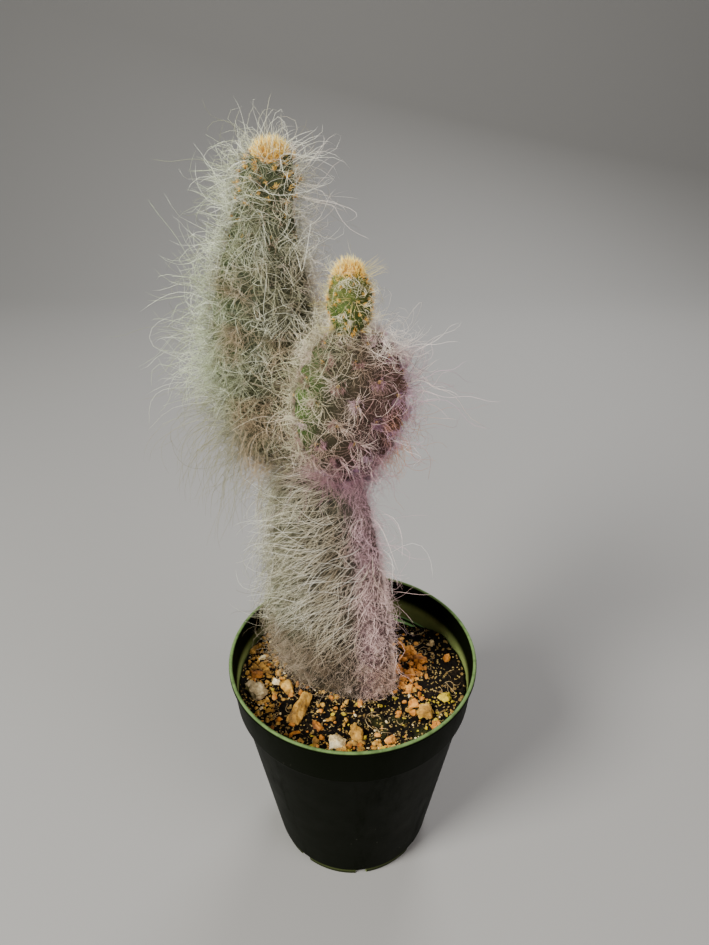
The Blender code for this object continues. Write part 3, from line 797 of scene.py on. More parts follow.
class Pad:
    # places and sizes in mm, facing in degrees; fullness: small for a blunt end
    # topHeavy: over 1 for a pad that is widest above its middle; grid: rings and sectors of tufts
    # neck: the width of the young growth at the top, as a share of the pad's
    def __init__(self, root, tip, halfWidth, halfThick, facing, fullness, topHeavy, grid, bow=0, neck=0):
        self.root = np.array(root) * mm
        self.tip = np.array(tip) * mm
        self.halfWidth = halfWidth * mm
        self.halfThick = halfThick * mm
        self.fullness = fullness
        self.topHeavy = topHeavy
        self.grid = grid
        self.bow = bow * mm
        self.neck = neck
        self.length = np.linalg.norm(self.tip - self.root)
        self.along = (self.tip - self.root) / self.length
        level = np.array((math.cos(math.radians(facing)), math.sin(math.radians(facing)), 0))
        self.across = unit(level - self.along * level.dot(self.along))
        self.through = np.cross(self.along, self.across)

    def swell(self, t):
        # the pad's width at t, which runs from 0 at the root to 1 at the tip, as a share of the full width
        t = np.clip(t, 0, 1)
        share = np.minimum(1, t / neckFoot) if self.neck else t
        egg = np.maximum(0, np.sin(np.pi * share**self.topHeavy)) ** self.fullness
        if not self.neck:
            return egg
        blend = np.clip((t - 0.3) / 0.4, 0, 1)
        column = self.neck * blend * blend * (3 - 2 * blend) * np.sqrt(1 - t**24)
        return (egg**3 + column**3) ** (1 / 3)

    def middle(self, t):
        t = np.asarray(t)[..., None]
        return self.root + self.along * self.length * t + self.across * self.bow * np.sin(np.pi * t)

    def normal(self, t, angle):
        t, angle = np.asarray(t), np.asarray(angle)
        wide = self.halfWidth * self.swell(t)
        thick = self.halfThick * self.swell(t)
        slope = (self.swell(t + 0.01) - self.swell(t - 0.01)) / 0.02 * self.halfWidth / self.length
        side = self.across * (thick * np.cos(angle))[..., None]
        side = side + self.through * (wide * np.sin(angle))[..., None]
        out = unit(side) - self.along * np.clip(slope, -3, 3)[..., None]
        closed = np.linalg.norm(side, axis=-1) < 1e-9
        out[closed] = self.along * np.where(t[closed] > 0.5, 1, -1)[:, None]
        return unit(out)

    def skin(self, t, angle, rise=0.0):
        t, angle = np.asarray(t), np.asarray(angle)
        wide = (self.halfWidth * self.swell(t) * np.cos(angle))[..., None]
        thick = (self.halfThick * self.swell(t) * np.sin(angle))[..., None]
        rise = np.asarray(rise)[..., None] * np.ones(t.shape)[..., None]
        return self.middle(t) + self.across * wide + self.through * thick + self.normal(t, angle) * rise

    def station(self, even):
        # closer together towards both ends
        return 0.55 * even + 0.45 * (1 - np.cos(np.pi * even)) / 2

    def level(self, points):
        # where along the pad a point is, and its offset across and through it
        t = (points - self.root) @ self.along / self.length
        flat = points - self.middle(np.clip(t, 0, 1))
        return t, flat @ self.across, flat @ self.through

    def depth(self, points, margin=0.0):
        # under 1 inside the skin grown by the margin
        t, wide, thick = self.level(points)
        past = np.maximum(0, np.maximum(-t, t - 1)) * self.length / max(margin, 1e-6)
        wide = wide / (self.halfWidth * self.swell(t) + margin)
        thick = thick / (self.halfThick * self.swell(t) + margin)
        return np.sqrt(wide**2 + thick**2 + past**2)

    def outward(self, points):
        # away from the skin, also for points that stand off it
        t, wide, thick = self.level(points)
        size = self.swell(t) + 0.05
        side = wide / (self.halfWidth * size) ** 2
        face = thick / (self.halfThick * size) ** 2
        return unit(self.across * side[:, None] + self.through * face[:, None])

    def pushOut(self, points, margin):
        # moves points that lie inside the skin sideways until they rest on it
        t, wide, thick = self.level(points)
        inside = np.minimum(np.maximum(self.depth(points, margin), 0.05), 1)[:, None]
        return points + (self.across * wide[:, None] + self.through * thick[:, None]) * (1 / inside - 1)


neckFoot = 0.86  # where the wide part of a pad with a neck ends
pads = {
    "pad_lower": Pad((-4, 3, 60), (-13, 4, 213), 26.8, 12, facing=-24, fullness=0.3, topHeavy=0.68,
                     grid=(17, 16), bow=-2),
    "pad_left": Pad((-23.5, 8, 199), (-25.4, 6, 315.6), 19.5, 9.5, facing=-8, fullness=0.62, topHeavy=0.8,
                    grid=(18, 16), bow=-7, neck=0.47),
    "pad_right": Pad((-1.5, -6, 201), (0.5, -12, 264), 19.5, 9, facing=14, fullness=0.48, topHeavy=1.15,
                     grid=(10, 16)),
    "shoot": Pad((-0.5, -11.5, 259), (-0.8, -12, 283), 6.7, 6.1, facing=10, fullness=0.42, topHeavy=1.1,
                 grid=(6, 10)),
}
tufting = {
    "tubercle": 0.8 * mm,
    "tubercleReach": 2.6 * mm,
    # the least distance to another pad, for a tuft and for a single hair, and to the mix
    "tuftGap": 0.8 * mm,
    "hairGap": 0.4 * mm,
    "overMix": 1.2 * mm,
}


def free(name, seats, margin):
    # the seats that aren't buried in the mix or in another pad; a seat is how far along the pad and round it
    spots = pads[name].skin(seats[:, 0], seats[:, 1])
    clear = np.ones(len(seats), bool)
    for title, other in pads.items():
        if title != name:
            clear &= other.depth(spots, margin) > 1
    for index in np.flatnonzero(spots[:, 2] < soil["level"] + 8 * mm):  # the mix is nowhere higher
        x, y, z = spots[index]
        clear[index] &= z > soilHeight(x, y) + tufting["overMix"]
    return seats[clear]


def tuftsOf(name, grid=None):
    # every other point of the pad's grid bears a tuft
    pad = pads[name]
    rings, sectors = grid or pad.grid
    places = [
        (float(pad.station(ring / rings)), sector * math.tau / sectors)
        for ring in range(1, rings)
        for sector in range(sectors)
        if (ring + sector) % 2 == 0
    ]
    return free(name, np.array(places), tufting["tuftGap"])


def evenSeats(name, count, draw):
    # places spread evenly over the skin: more than enough are drawn, then thinned
    pad = pads[name]
    t = draw.uniform(0.02, 0.99, count * 5)
    angle = draw.uniform(0, math.tau, count * 5)
    girth = pad.swell(t) * np.hypot(pad.halfWidth * np.sin(angle), pad.halfThick * np.cos(angle))
    chosen = draw.random(len(t)) < girth / girth.max()  # fewer where a step round the pad is short
    return free(name, np.stack((t[chosen], angle[chosen]), 1), tufting["hairGap"])[:count]


skins = {
    # sweep: where across the pad the ramp of colours starts and ends in mm, how much it slants with height,
    # and the height and the place across where it isn't shifted
    "pad_lower": {
        "sweep": (-30, 22, 0.059, 60, -4),
        # the pink band at the right is painted light: a pink light falling from that side
        "bands": ((0.0, (0.16, 0.17, 0.11)), (0.28, (0.12, 0.12, 0.075)), (0.42, (0.030, 0.026, 0.016)),
                  (0.74, (0.034, 0.026, 0.019)), (0.85, (0.20, 0.115, 0.125)), (1.0, (0.11, 0.065, 0.060))),
        "young": (0.10, 0.13, 0.05),
        "growth": 0.1,
        "streak": 0.75,
    },
    "pad_left": {
        "sweep": (-20, 20, 0.011, 260, -27),
        "bands": ((0.0, (0.060, 0.090, 0.024)), (0.2, (0.044, 0.056, 0.024)), (0.5, (0.054, 0.050, 0.026)),
                  (0.8, (0.040, 0.040, 0.024)), (1.0, (0.036, 0.042, 0.016))),
        "young": (0.036, 0.056, 0.018),
        "growth": 0.75,
        "streak": 0.4,
    },
    "pad_right": {
        "sweep": (-19, 21, -0.15, 235, -1),
        "bands": ((0.0, (0.070, 0.150, 0.020)), (0.13, (0.055, 0.095, 0.018)), (0.24, (0.042, 0.042, 0.018)),
                  (0.5, (0.052, 0.034, 0.022)), (0.8, (0.075, 0.036, 0.030)), (1.0, (0.110, 0.042, 0.016))),
        "young": (0.045, 0.052, 0.018),
        "growth": 0.3,
        "streak": 0.4,
    },
    "shoot": {
        "sweep": (-7, 7, 0.0, 270, -1),
        "bands": ((0.0, (0.060, 0.105, 0.014)), (1.0, (0.040, 0.058, 0.009))),
        "young": (0.15, 0.14, 0.02),
        "growth": 0.5,
        "streak": 0.5,
    },
}
skin = {
    "shadow": (0.014, 0.013, 0.007),
    "scar": (0.13, 0.10, 0.05),
    "youngFrom": 0.45,  # how far up the pad its young colour begins
    "facets": (72, 80),
    "shootFacets": (40, 36),
    "lump": 0.3 * mm,
    "lumpSize": 11 * mm,
    "pore": 0.1 * mm,
    "poreSize": 2 * mm,
}


# where a ramp turns pink and mauve towards the right, it paints a pink light falling from that side
def bandsOf(look, bands, sweep):
    low, high, slant, middle, centre = sweep
    across = look.axis("X") + (look.axis("Z") - middle * mm) * slant - centre * mm
    wander = (look.noise(60, 3) - 0.5) * (9 * mm)
    return look.ramp(look.span(across + wander, low * mm, high * mm), *bands)


def skinLook(name):
    colours = skins[name]
    pad = pads[name]
    look = Look(pieceName(name, "Skin"), specular=0.3)
    colour = bandsOf(look, colours["bands"], colours["sweep"])
    youngFrom = pad.root[2] + skin["youngFrom"] * (pad.tip[2] - pad.root[2])
    young = look.fade(look.axis("Z"), youngFrom, pad.tip[2])
    colour = look.mix(young * colours["growth"], colour, colours["young"])
    combed = look.moved(look.place, "Rotation", (0, math.radians(-42), 0))
    combed = look.moved(combed, "Scale", (150, 420, 900))
    streaks = look.noise(1, 4, 0.65, combed)
    colour = look.mix(look.fade(streaks, 0.46, 0.62) * colours["streak"], colour, skin["shadow"])
    colour = look.mix(look.fade(look.noise(140, 4, 0.6), 0.5, 0.75) * 0.3, colour, skin["scar"])
    look.feed("Base Color", colour)
    look.feed("Roughness", 0.55 + streaks * 0.3)
    look.bump(look.noise(700, 3) * 0.4 + streaks * 0.8, 0.5 * mm, 0.7)
    return look


def makeSkin(name):
    pad = pads[name]
    around, high = skin["shootFacets" if name == "shoot" else "facets"]
    bm = bmesh.new()
    bmesh.ops.create_uvsphere(bm, u_segments=around, v_segments=high, radius=1)
    obj = meshObject(pieceName(name, "Skin"), bm)
    ball = coordinates(obj.data)
    t = pad.station(1 - np.arccos(np.clip(ball[:, 2], -1, 1)) / np.pi)
    angle = np.arctan2(ball[:, 1], ball[:, 0])
    smooth = pad.skin(t, angle)
    centres = pad.skin(*tuftsOf(name).T)
    apart = np.linalg.norm(smooth[:, None] - centres[None], axis=2).min(1)
    rise = tufting["tubercle"] * np.exp(-((apart / tufting["tubercleReach"]) ** 2))
    for index, point in enumerate(smooth):
        rise[index] += skin["lump"] * turbulence(point, skin["lumpSize"], 2)
        rise[index] += skin["pore"] * turbulence(point, skin["poreSize"], 1)
    setCoordinates(obj.data, pad.skin(t, angle, rise))
    bm = bmesh.new()
    bm.from_mesh(obj.data)
    bmesh.ops.recalc_face_normals(bm, faces=bm.faces)
    bm.to_mesh(obj.data)
    bm.free()
    obj.data.materials.append(skinLook(name).material)
    obj.data.shade_smooth()
    finished(obj, "hairy_skin", name)


# hairs: three-sided tapering tubes along paths that are grown step by step over the skin

growth = {
    "rootDepth": 0.9 * mm,  # how far a hair starts under the skin
    "swing": 2.2,  # how much the lock's values turn a hair
    "scatter": 1.2,  # the spread of these values where hairs don't flow
    "headingJitter": 0.3,
    "curlJitter": 0.4,
    "bend": 6,  # how much a hair bends over its whole length
    "neighbourGap": 0.4 * mm,
    # how far the hairs may reach past the CAD box, and how far they keep from the pot's wall and the mix
    "pastBox": 1.5 * mm,
    "wallGap": 2.6 * mm,
    "overMix": 0.5 * mm,
}


def smoothField(points, reach, draw):
    # eight values for each point, nearly the same for its neighbours within the reach
    waves = draw.normal(0, 1 / reach, (3, 24))
    return np.sin(points @ waves + draw.uniform(0, math.tau, 24)).reshape(len(points), 8, 3).sum(2)


def seatsOf(group, draw):
    # where the hairs of a group stand, and which lock each belongs to
    pad, count = pads[group["pad"]], group["count"]
    if group["source"] == "tufts":
        tufts = tuftsOf(group["pad"], group.get("grid"))
        seats = np.repeat(tufts, count, axis=0)
        lock = np.repeat(np.arange(len(tufts)), count) * group["locks"]
        lock += draw.integers(0, group["locks"], len(seats))
    else:
        seats = evenSeats(group["pad"], count, draw)
        lock = np.arange(len(seats))
    if "where" in group:
        spots = pad.skin(*seats.T)
        kept = draw.random(len(seats)) < group["where"](spots[:, 0], spots[:, 2])
        seats, lock = seats[kept], lock[kept]
    return seats, lock


def growPaths(group, seed):
    # hairs of one lock, or neighbours where the group flows, share a heading, a bend and a curl
    draw = np.random.default_rng(seed)
    pad = pads[group["pad"]]
    neighbours = [other for title, other in pads.items() if title != group["pad"]]
    seats, lock = seatsOf(group, draw)
    count, total, steps, loose = len(seats), lock.max() + 1, group["steps"], group["loose"]

    def each(low, high, spread=0.0):
        value = draw.uniform(low, high, total)[lock]
        return value * (1 + draw.uniform(-spread, spread, count))

    def jittered(vectors, amount):
        return vectors + draw.normal(0, loose * amount, (count, 3))

    t, angle = seats.T
    roots, normal = pad.skin(t, angle), pad.normal(t, angle)
    level = np.where(np.abs(normal[:, 2:3]) > 0.9, np.array((1.0, 0, 0)), up)
    side = unit(np.cross(level, normal))
    other = np.cross(normal, side)
    if group["flow"]:
        field = smoothField(roots, group["flow"], draw)
    else:
        field = draw.normal(0, growth["scatter"], (total, 8))[lock]
    turn = field[:, 0] * growth["swing"] + draw.normal(0, loose, count)
    lean = side * np.cos(turn)[:, None] + other * np.sin(turn)[:, None]
    ring = draw.uniform(0, 1, count)[:, None] ** 0.7 * group["tuft"]
    start = pad.pushOut(pad.skin(t, angle, tufting["tubercle"] * 0.5) + lean * ring, 0.1 * mm)
    high, low = np.array(group["comb"]), np.array(group.get("combLow", group["comb"]))
    comb = high * t[:, None] + low * (1 - t[:, None])
    comb = comb - normal * (comb * normal).sum(1)[:, None]
    heading = normal * each(*group["lift"])[:, None] + lean * group["spread"] + comb
    heading = unit(jittered(heading, growth["headingJitter"]))
    step = (each(*group["length"], 0.25) / steps)[:, None]

    # a curl turns round between two axes
    axisOne = jittered(unit(field[:, 1:4]), growth["curlJitter"])
    axisTwo = jittered(unit(field[:, 4:7]), growth["curlJitter"])
    phase = field[:, 7] * growth["swing"] + draw.normal(0, loose, count)
    rate = each(*group["waves"]) * math.tau / steps
    curl = each(*group["curl"])[:, None]

    spot = start
    path = [start - normal * growth["rootDepth"]]
    for number in range(steps):
        spot = pad.pushOut(spot + heading * step, group["hover"])
        for neighbour in neighbours:
            spot = neighbour.pushOut(spot, growth["neighbourGap"])
        path.append(spot)
        wave = phase + rate * number
        pull = (axisOne * np.cos(wave)[:, None] + axisTwo * np.sin(wave)[:, None]) * curl
        heading = unit(heading + (pull - up * group["droop"]) * (growth["bend"] / steps))
        out = pad.outward(spot)
        heading = unit(heading - out * np.maximum(0, (heading * out).sum(1))[:, None] * group["cling"])
    paths = keptInside(np.stack(path, 1))
    spots = paths.reshape(-1, 3)
    _, wide, thick = pad.level(spots)
    rise = np.hypot(wide, thick) * (1 - 1 / np.maximum(pad.depth(spots), 1))
    shade = 0.65 * np.clip(0.5 + 0.35 * field[:, 0], 0, 1) + 0.35 * draw.random(count)
    return paths, {"shade": shade, "rise": rise.reshape(paths.shape[:2])}


def keptInside(paths):
    # hairs rest on the mix and stay inside the pot's wall, and none reaches far past the box of the CAD model
    low, high = (np.array(corner) for corner in cadBounds)
    low, high = low - growth["pastBox"], high + growth["pastBox"]
    root = paths[:, 1:2]
    past = (paths - root) / np.maximum(high - root, 1e-9)
    below = (paths - root) / np.minimum(low - root, -1e-9)
    scale = 1 / np.maximum(1, np.maximum(past, below).max(axis=(1, 2)))
    paths[:, 1:] = root + (paths[:, 1:] - root) * scale[:, None, None]
    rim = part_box("pot")[1][2]
    flat = np.linalg.norm(paths[..., :2], axis=-1)
    wall = pot["collarRadius"] - growth["wallGap"]
    close = (paths[..., 2] < rim + 1 * mm) & (flat > wall)
    pressed = paths[..., :2] * (wall / np.maximum(flat, 1e-9))[..., None]
    paths[..., :2] = np.where(close[..., None], pressed, paths[..., :2])
    # the mix is nowhere 6 mm over its level
    for hair, number in np.argwhere((paths[..., 2] < soil["level"] + 6 * mm) & (flat < soil["radius"])):
        if number:  # the root stays in the skin
            point = paths[hair, number]
            point[2] = max(point[2], soilHeight(point[0], point[1]) + growth["overMix"])
    return paths


def tubes(name, paths, thick, look, marks, tip=0.45):
    # one closed tube for each path, pointed at both ends; marks are values for each path or for each point
    count, points = paths.shape[:2]
    section = bpy.data.curves.new(name + "Section", "CURVE")
    ring = section.splines.new("POLY")
    ring.points.add(2)
    for number, point in enumerate(ring.points):
        point.co = (thick * math.cos(number * math.tau / 3), thick * math.sin(number * math.tau / 3), 0, 1)
    ring.use_cyclic_u = True
    shape = bpy.data.objects.new(name + "Section", section)
    curve = bpy.data.curves.new(name, "CURVE")
    curve.dimensions = "3D"
    curve.bevel_mode = "OBJECT"
    curve.bevel_object = shape
    share = np.linspace(0, 1, points)
    radius = (1 - share * (1 - tip)).astype(np.float32)
    radius[0] = radius[-1] = 0
    for path in paths:
        spline = curve.splines.new("POLY")
        spline.points.add(points - 1)
        spline.points.foreach_set("co", np.column_stack((path, np.ones(points))).astype(np.float32).ravel())
        spline.points.foreach_set("radius", radius)
    drawn = bpy.data.objects.new(name, curve)
    for part in (shape, drawn):
        bpy.context.scene.collection.objects.link(part)
    mesh = evaluated(drawn)
    bpy.data.objects.remove(drawn)
    bpy.data.objects.remove(shape)

    for title, values in {"along": np.tile(share, (count, 1)), **marks}.items():
        values = np.repeat(values.ravel(), points * count * 3 // values.size).astype(np.float32)
        mesh.attributes.new(title, "FLOAT", "POINT").data.foreach_set("value", values)
    bm = bmesh.new()
    bm.from_mesh(mesh)
    bmesh.ops.remove_doubles(bm, verts=bm.verts, dist=0.002 * mm)
    bmesh.ops.recalc_face_normals(bm, faces=bm.faces)
    return meshObject(name, bm, look)


def hairLook(name, tone):
    # a hair is coloured by its place, by its own shade, and by painted shade where it stands close to the
    # skin and near its root
    look = Look(name, roughness=0.5, specular=0.3)
    shade, along, z = look.attribute("shade"), look.attribute("along"), look.axis("Z")
    colour = bandsOf(look, tone["bands"], tone["sweep"])
    colour = look.mix(look.fade(shade, 0.5, 0.8) * 0.75, colour, tone["bright"])
    colour = look.mix((1 - look.fade(shade, 0.28, 0.52)) * tone.get("dark", 0.7), colour, tone["dull"])
    start, end = tone["fadeDown"]
    colour = look.mix(look.fade(z, start * mm, end * mm) * 0.85, colour, tone["low"])
    across = look.axis("X") + (z - 60 * mm) * 0.06
    for side, start, end, patches, tint in tone.get("tints", ()):
        spread = look.fade(across, (side - 2) * mm, (side + 8) * mm) * look.fade(z, start * mm, end * mm)
        if patches:
            spread = spread * look.fade(look.noise(patches, 2), 0.44, 0.56)
        colour = look.mix(spread * 0.88, colour, tint)
    # painted shade: hairs close to the skin darken towards the root colour, as if shadowed by the hairs over
    # them
    start, end = tone["deep"]
    deep = 1 - look.fade(look.attribute("rise"), start * mm, end * mm)
    colour = look.mix(deep * tone["shadow"], colour, tone["root"])
    # each hair darkens towards its root end: partly its own brown base, partly painted shade between the
    # hairs
    colour = look.mix((1 - look.fade(along, 0.0, 0.35)) * 0.4, colour, tone["root"])
    look.feed("Base Color", colour)
    return look


hairTones = {
    # all sizes in mm; fadeDown: the heights between which the colour turns to low
    # tints: from which side, between which heights, how patchy, colour
    # dark: how far a dull hair departs from the bands; deep: how far from the skin the shadow reaches
    # root: the colour of that painted shadow, and of each hair's own darker base
    "pad_lower": {
        "sweep": skins["pad_lower"]["sweep"],
        # painted light: the bands and tints turn pink and mauve towards the right, for a pink light falling
        # from that side
        "bands": ((0.0, (0.40, 0.42, 0.245)), (0.4, (0.53, 0.49, 0.32)), (0.62, (0.64, 0.52, 0.36)),
                  (0.76, (0.72, 0.50, 0.41)), (0.88, (0.84, 0.55, 0.52)), (1.0, (0.78, 0.50, 0.46))),
        # painted shade: the first tint darkens the whole top of the lower pad under the upper pads, and the
        # dark purple one darkens its top at the right
        "tints": ((-60, 190, 204, 0, (0.44, 0.35, 0.27)), (3, 152, 170, 0, (0.66, 0.42, 0.47)),
                  (3, 186, 200, 0, (0.38, 0.20, 0.27)), (3, 166, 150, 0, (1.0, 0.72, 0.68)),
                  (4, 120, 106, 0, (0.78, 0.50, 0.37))),
        "bright": (0.98, 0.93, 0.75), "dull": (0.13, 0.10, 0.055), "dark": 0.88,
        "low": (0.26, 0.18, 0.105), "fadeDown": (134, 112),
        "root": (0.060, 0.047, 0.026), "deep": (0.2, 2.1), "shadow": 0.72,
    },
    "pad_left": {
        "sweep": skins["pad_left"]["sweep"],
        "bands": ((0.0, (0.60, 0.69, 0.43)), (0.35, (0.63, 0.66, 0.42)), (0.7, (0.66, 0.62, 0.44)),
                  (1.0, (0.70, 0.60, 0.53))),
        "tints": ((-36, 286, 270, 52, (0.50, 0.37, 0.23)),),
        "bright": (0.97, 0.99, 0.84), "dull": (0.19, 0.19, 0.10), "dark": 0.75,
        "low": (0.21, 0.185, 0.09), "fadeDown": (244, 214),
        "root": (0.070, 0.070, 0.034), "deep": (0.2, 5.5), "shadow": 0.75,
    },
    "pad_right": {
        "sweep": (-15, 18, -0.42, 235, -1),
        # painted light: pink and mauve towards the right, for the pink light from that side
        "bands": ((0.0, (0.76, 0.76, 0.48)), (0.35, (0.60, 0.46, 0.32)), (0.65, (0.62, 0.37, 0.35)),
                  (1.0, (0.58, 0.34, 0.47))),
        "tints": ((16, 252, 260, 0, (0.95, 0.86, 0.76)), (19, 240, 230, 60, (0.56, 0.24, 0.10))),
        "bright": (0.95, 0.80, 0.66), "dull": (0.20, 0.115, 0.075),
        "low": (0.37, 0.195, 0.23), "fadeDown": (226, 206),
        "root": (0.085, 0.046, 0.032), "deep": (0.4, 3.5), "shadow": 0.75,
    },
    "shoot": {
        "sweep": skins["shoot"]["sweep"],
        "bands": ((0.0, (0.78, 0.76, 0.46)), (1.0, (0.76, 0.66, 0.40))),
        "bright": (0.96, 0.92, 0.72), "dull": (0.60, 0.48, 0.12),
        "low": (0.70, 0.64, 0.48), "fadeDown": (266, 256),
        "root": (0.46, 0.32, 0.06), "deep": (0.1, 1.5), "shadow": 0.5,
    },
    "left_wool": {
        "sweep": skins["pad_left"]["sweep"],
        "bands": ((0.0, (0.64, 0.62, 0.42)), (0.5, (0.70, 0.53, 0.40)), (1.0, (0.72, 0.55, 0.48))),
        "bright": (0.90, 0.79, 0.66), "dull": (0.36, 0.24, 0.14),
        "low": (0.44, 0.38, 0.24), "fadeDown": (225, 196),
        "root": (0.22, 0.14, 0.075), "deep": (-0.3, 2), "shadow": 0.6,
    },
    "right_wool": {
        "sweep": (-17, 14, -0.55, 242, -1),
        # painted light: pink and mauve towards the right, for the pink light from that side
        "bands": ((0.0, (0.68, 0.58, 0.42)), (0.4, (0.64, 0.40, 0.38)), (0.7, (0.64, 0.34, 0.44)),
                  (1.0, (0.52, 0.29, 0.54))),
        "bright": (0.92, 0.68, 0.74), "dull": (0.36, 0.19, 0.16),
        "low": (0.46, 0.26, 0.34), "fadeDown": (210, 200),
        "root": (0.26, 0.12, 0.11), "deep": (-0.3, 2), "shadow": 0.6,
    },
    "base_wool": {
        "sweep": skins["pad_lower"]["sweep"],
        # painted light: the pink at the right and the pinkish tint below it, for the pink light from that
        # side
        "bands": ((0.0, (0.38, 0.34, 0.225)), (0.55, (0.38, 0.285, 0.195)), (0.74, (0.72, 0.54, 0.45)),
                  (0.9, (0.98, 0.70, 0.60))),
        "tints": ((5, 102, 94, 0, (0.95, 0.68, 0.56)),),
        "bright": (0.72, 0.57, 0.44), "dull": (0.13, 0.08, 0.042),
        "low": (0.30, 0.205, 0.12), "fadeDown": (96, 90),
        "root": (0.075, 0.046, 0.026), "deep": (-0.3, 2.8), "shadow": 0.7,
    },
    "strands": {
        "sweep": skins["pad_lower"]["sweep"],
        "bands": ((0.0, (0.82, 0.84, 0.68)), (0.6, (0.92, 0.86, 0.70)), (1.0, (0.88, 0.72, 0.66))),
        "bright": (1.0, 0.98, 0.90), "dull": (0.60, 0.50, 0.34),
        "low": (0.40, 0.30, 0.20), "fadeDown": (140, 116),
        "root": (0.22, 0.17, 0.10), "deep": (0.2, 1.8), "shadow": 0.4,
    },
}


def hairs(pad, source, count, length, steps, thick, **changes):
    # count: at each tuft, or spread over the whole skin; locks: at each tuft; length and thickness in mm
    # lift: away from the skin; comb: along it; cling: how far a hair is pressed back to the skin as it grows
    # tuft: how far from its seat a hair starts; hover: how far it keeps from the skin
    # flow: over which reach neighbours share their shape; these three are in mm too
    group = {
        "pad": pad, "source": source, "count": count, "steps": steps, "thick": thick * mm, "locks": 1,
        "lift": (0.6, 1.0), "spread": 0.7, "comb": (0.0, 0.0, 0.0), "droop": 0.0, "curl": (0.1, 0.5),
        "waves": (0.3, 1.2), "loose": 0.5, "tuft": 0, "hover": 0.5, "cling": 0.0, "flow": 0, **changes,
    }
    for title in ("tuft", "hover", "flow"):
        group[title] *= mm
    group["length"] = (length[0] * mm, length[1] * mm)
    return group


def rising(values, start, end, least=0.0):
    # a ramp from the least share to 1 between two places in mm
    return np.clip((values - start * mm) / ((end - start) * mm), least, 1)


def ridge(x, z):
    # the right edge of the lower pad, which leans
    return rising(x + 0.06 * (z - 60 * mm), 2, 12)


def aboveFoot(x, z):
    return rising(z, 108, 130, 0.05)


def foot(x, z):
    return rising(-z, -124, -110)


def notRidge(x, z):
    return (1 - 0.75 * ridge(x, z)) * aboveFoot(x, z)


def felted(x, z):
    return np.clip(0.3 + ridge(x, z) + rising(-x, 18, 24), 0, 1) * aboveFoot(x, z)


def underCrown(x, z):
    # the young growth bears fewer hairs
    return 1 - 0.5 * rising(z, 284, 300)


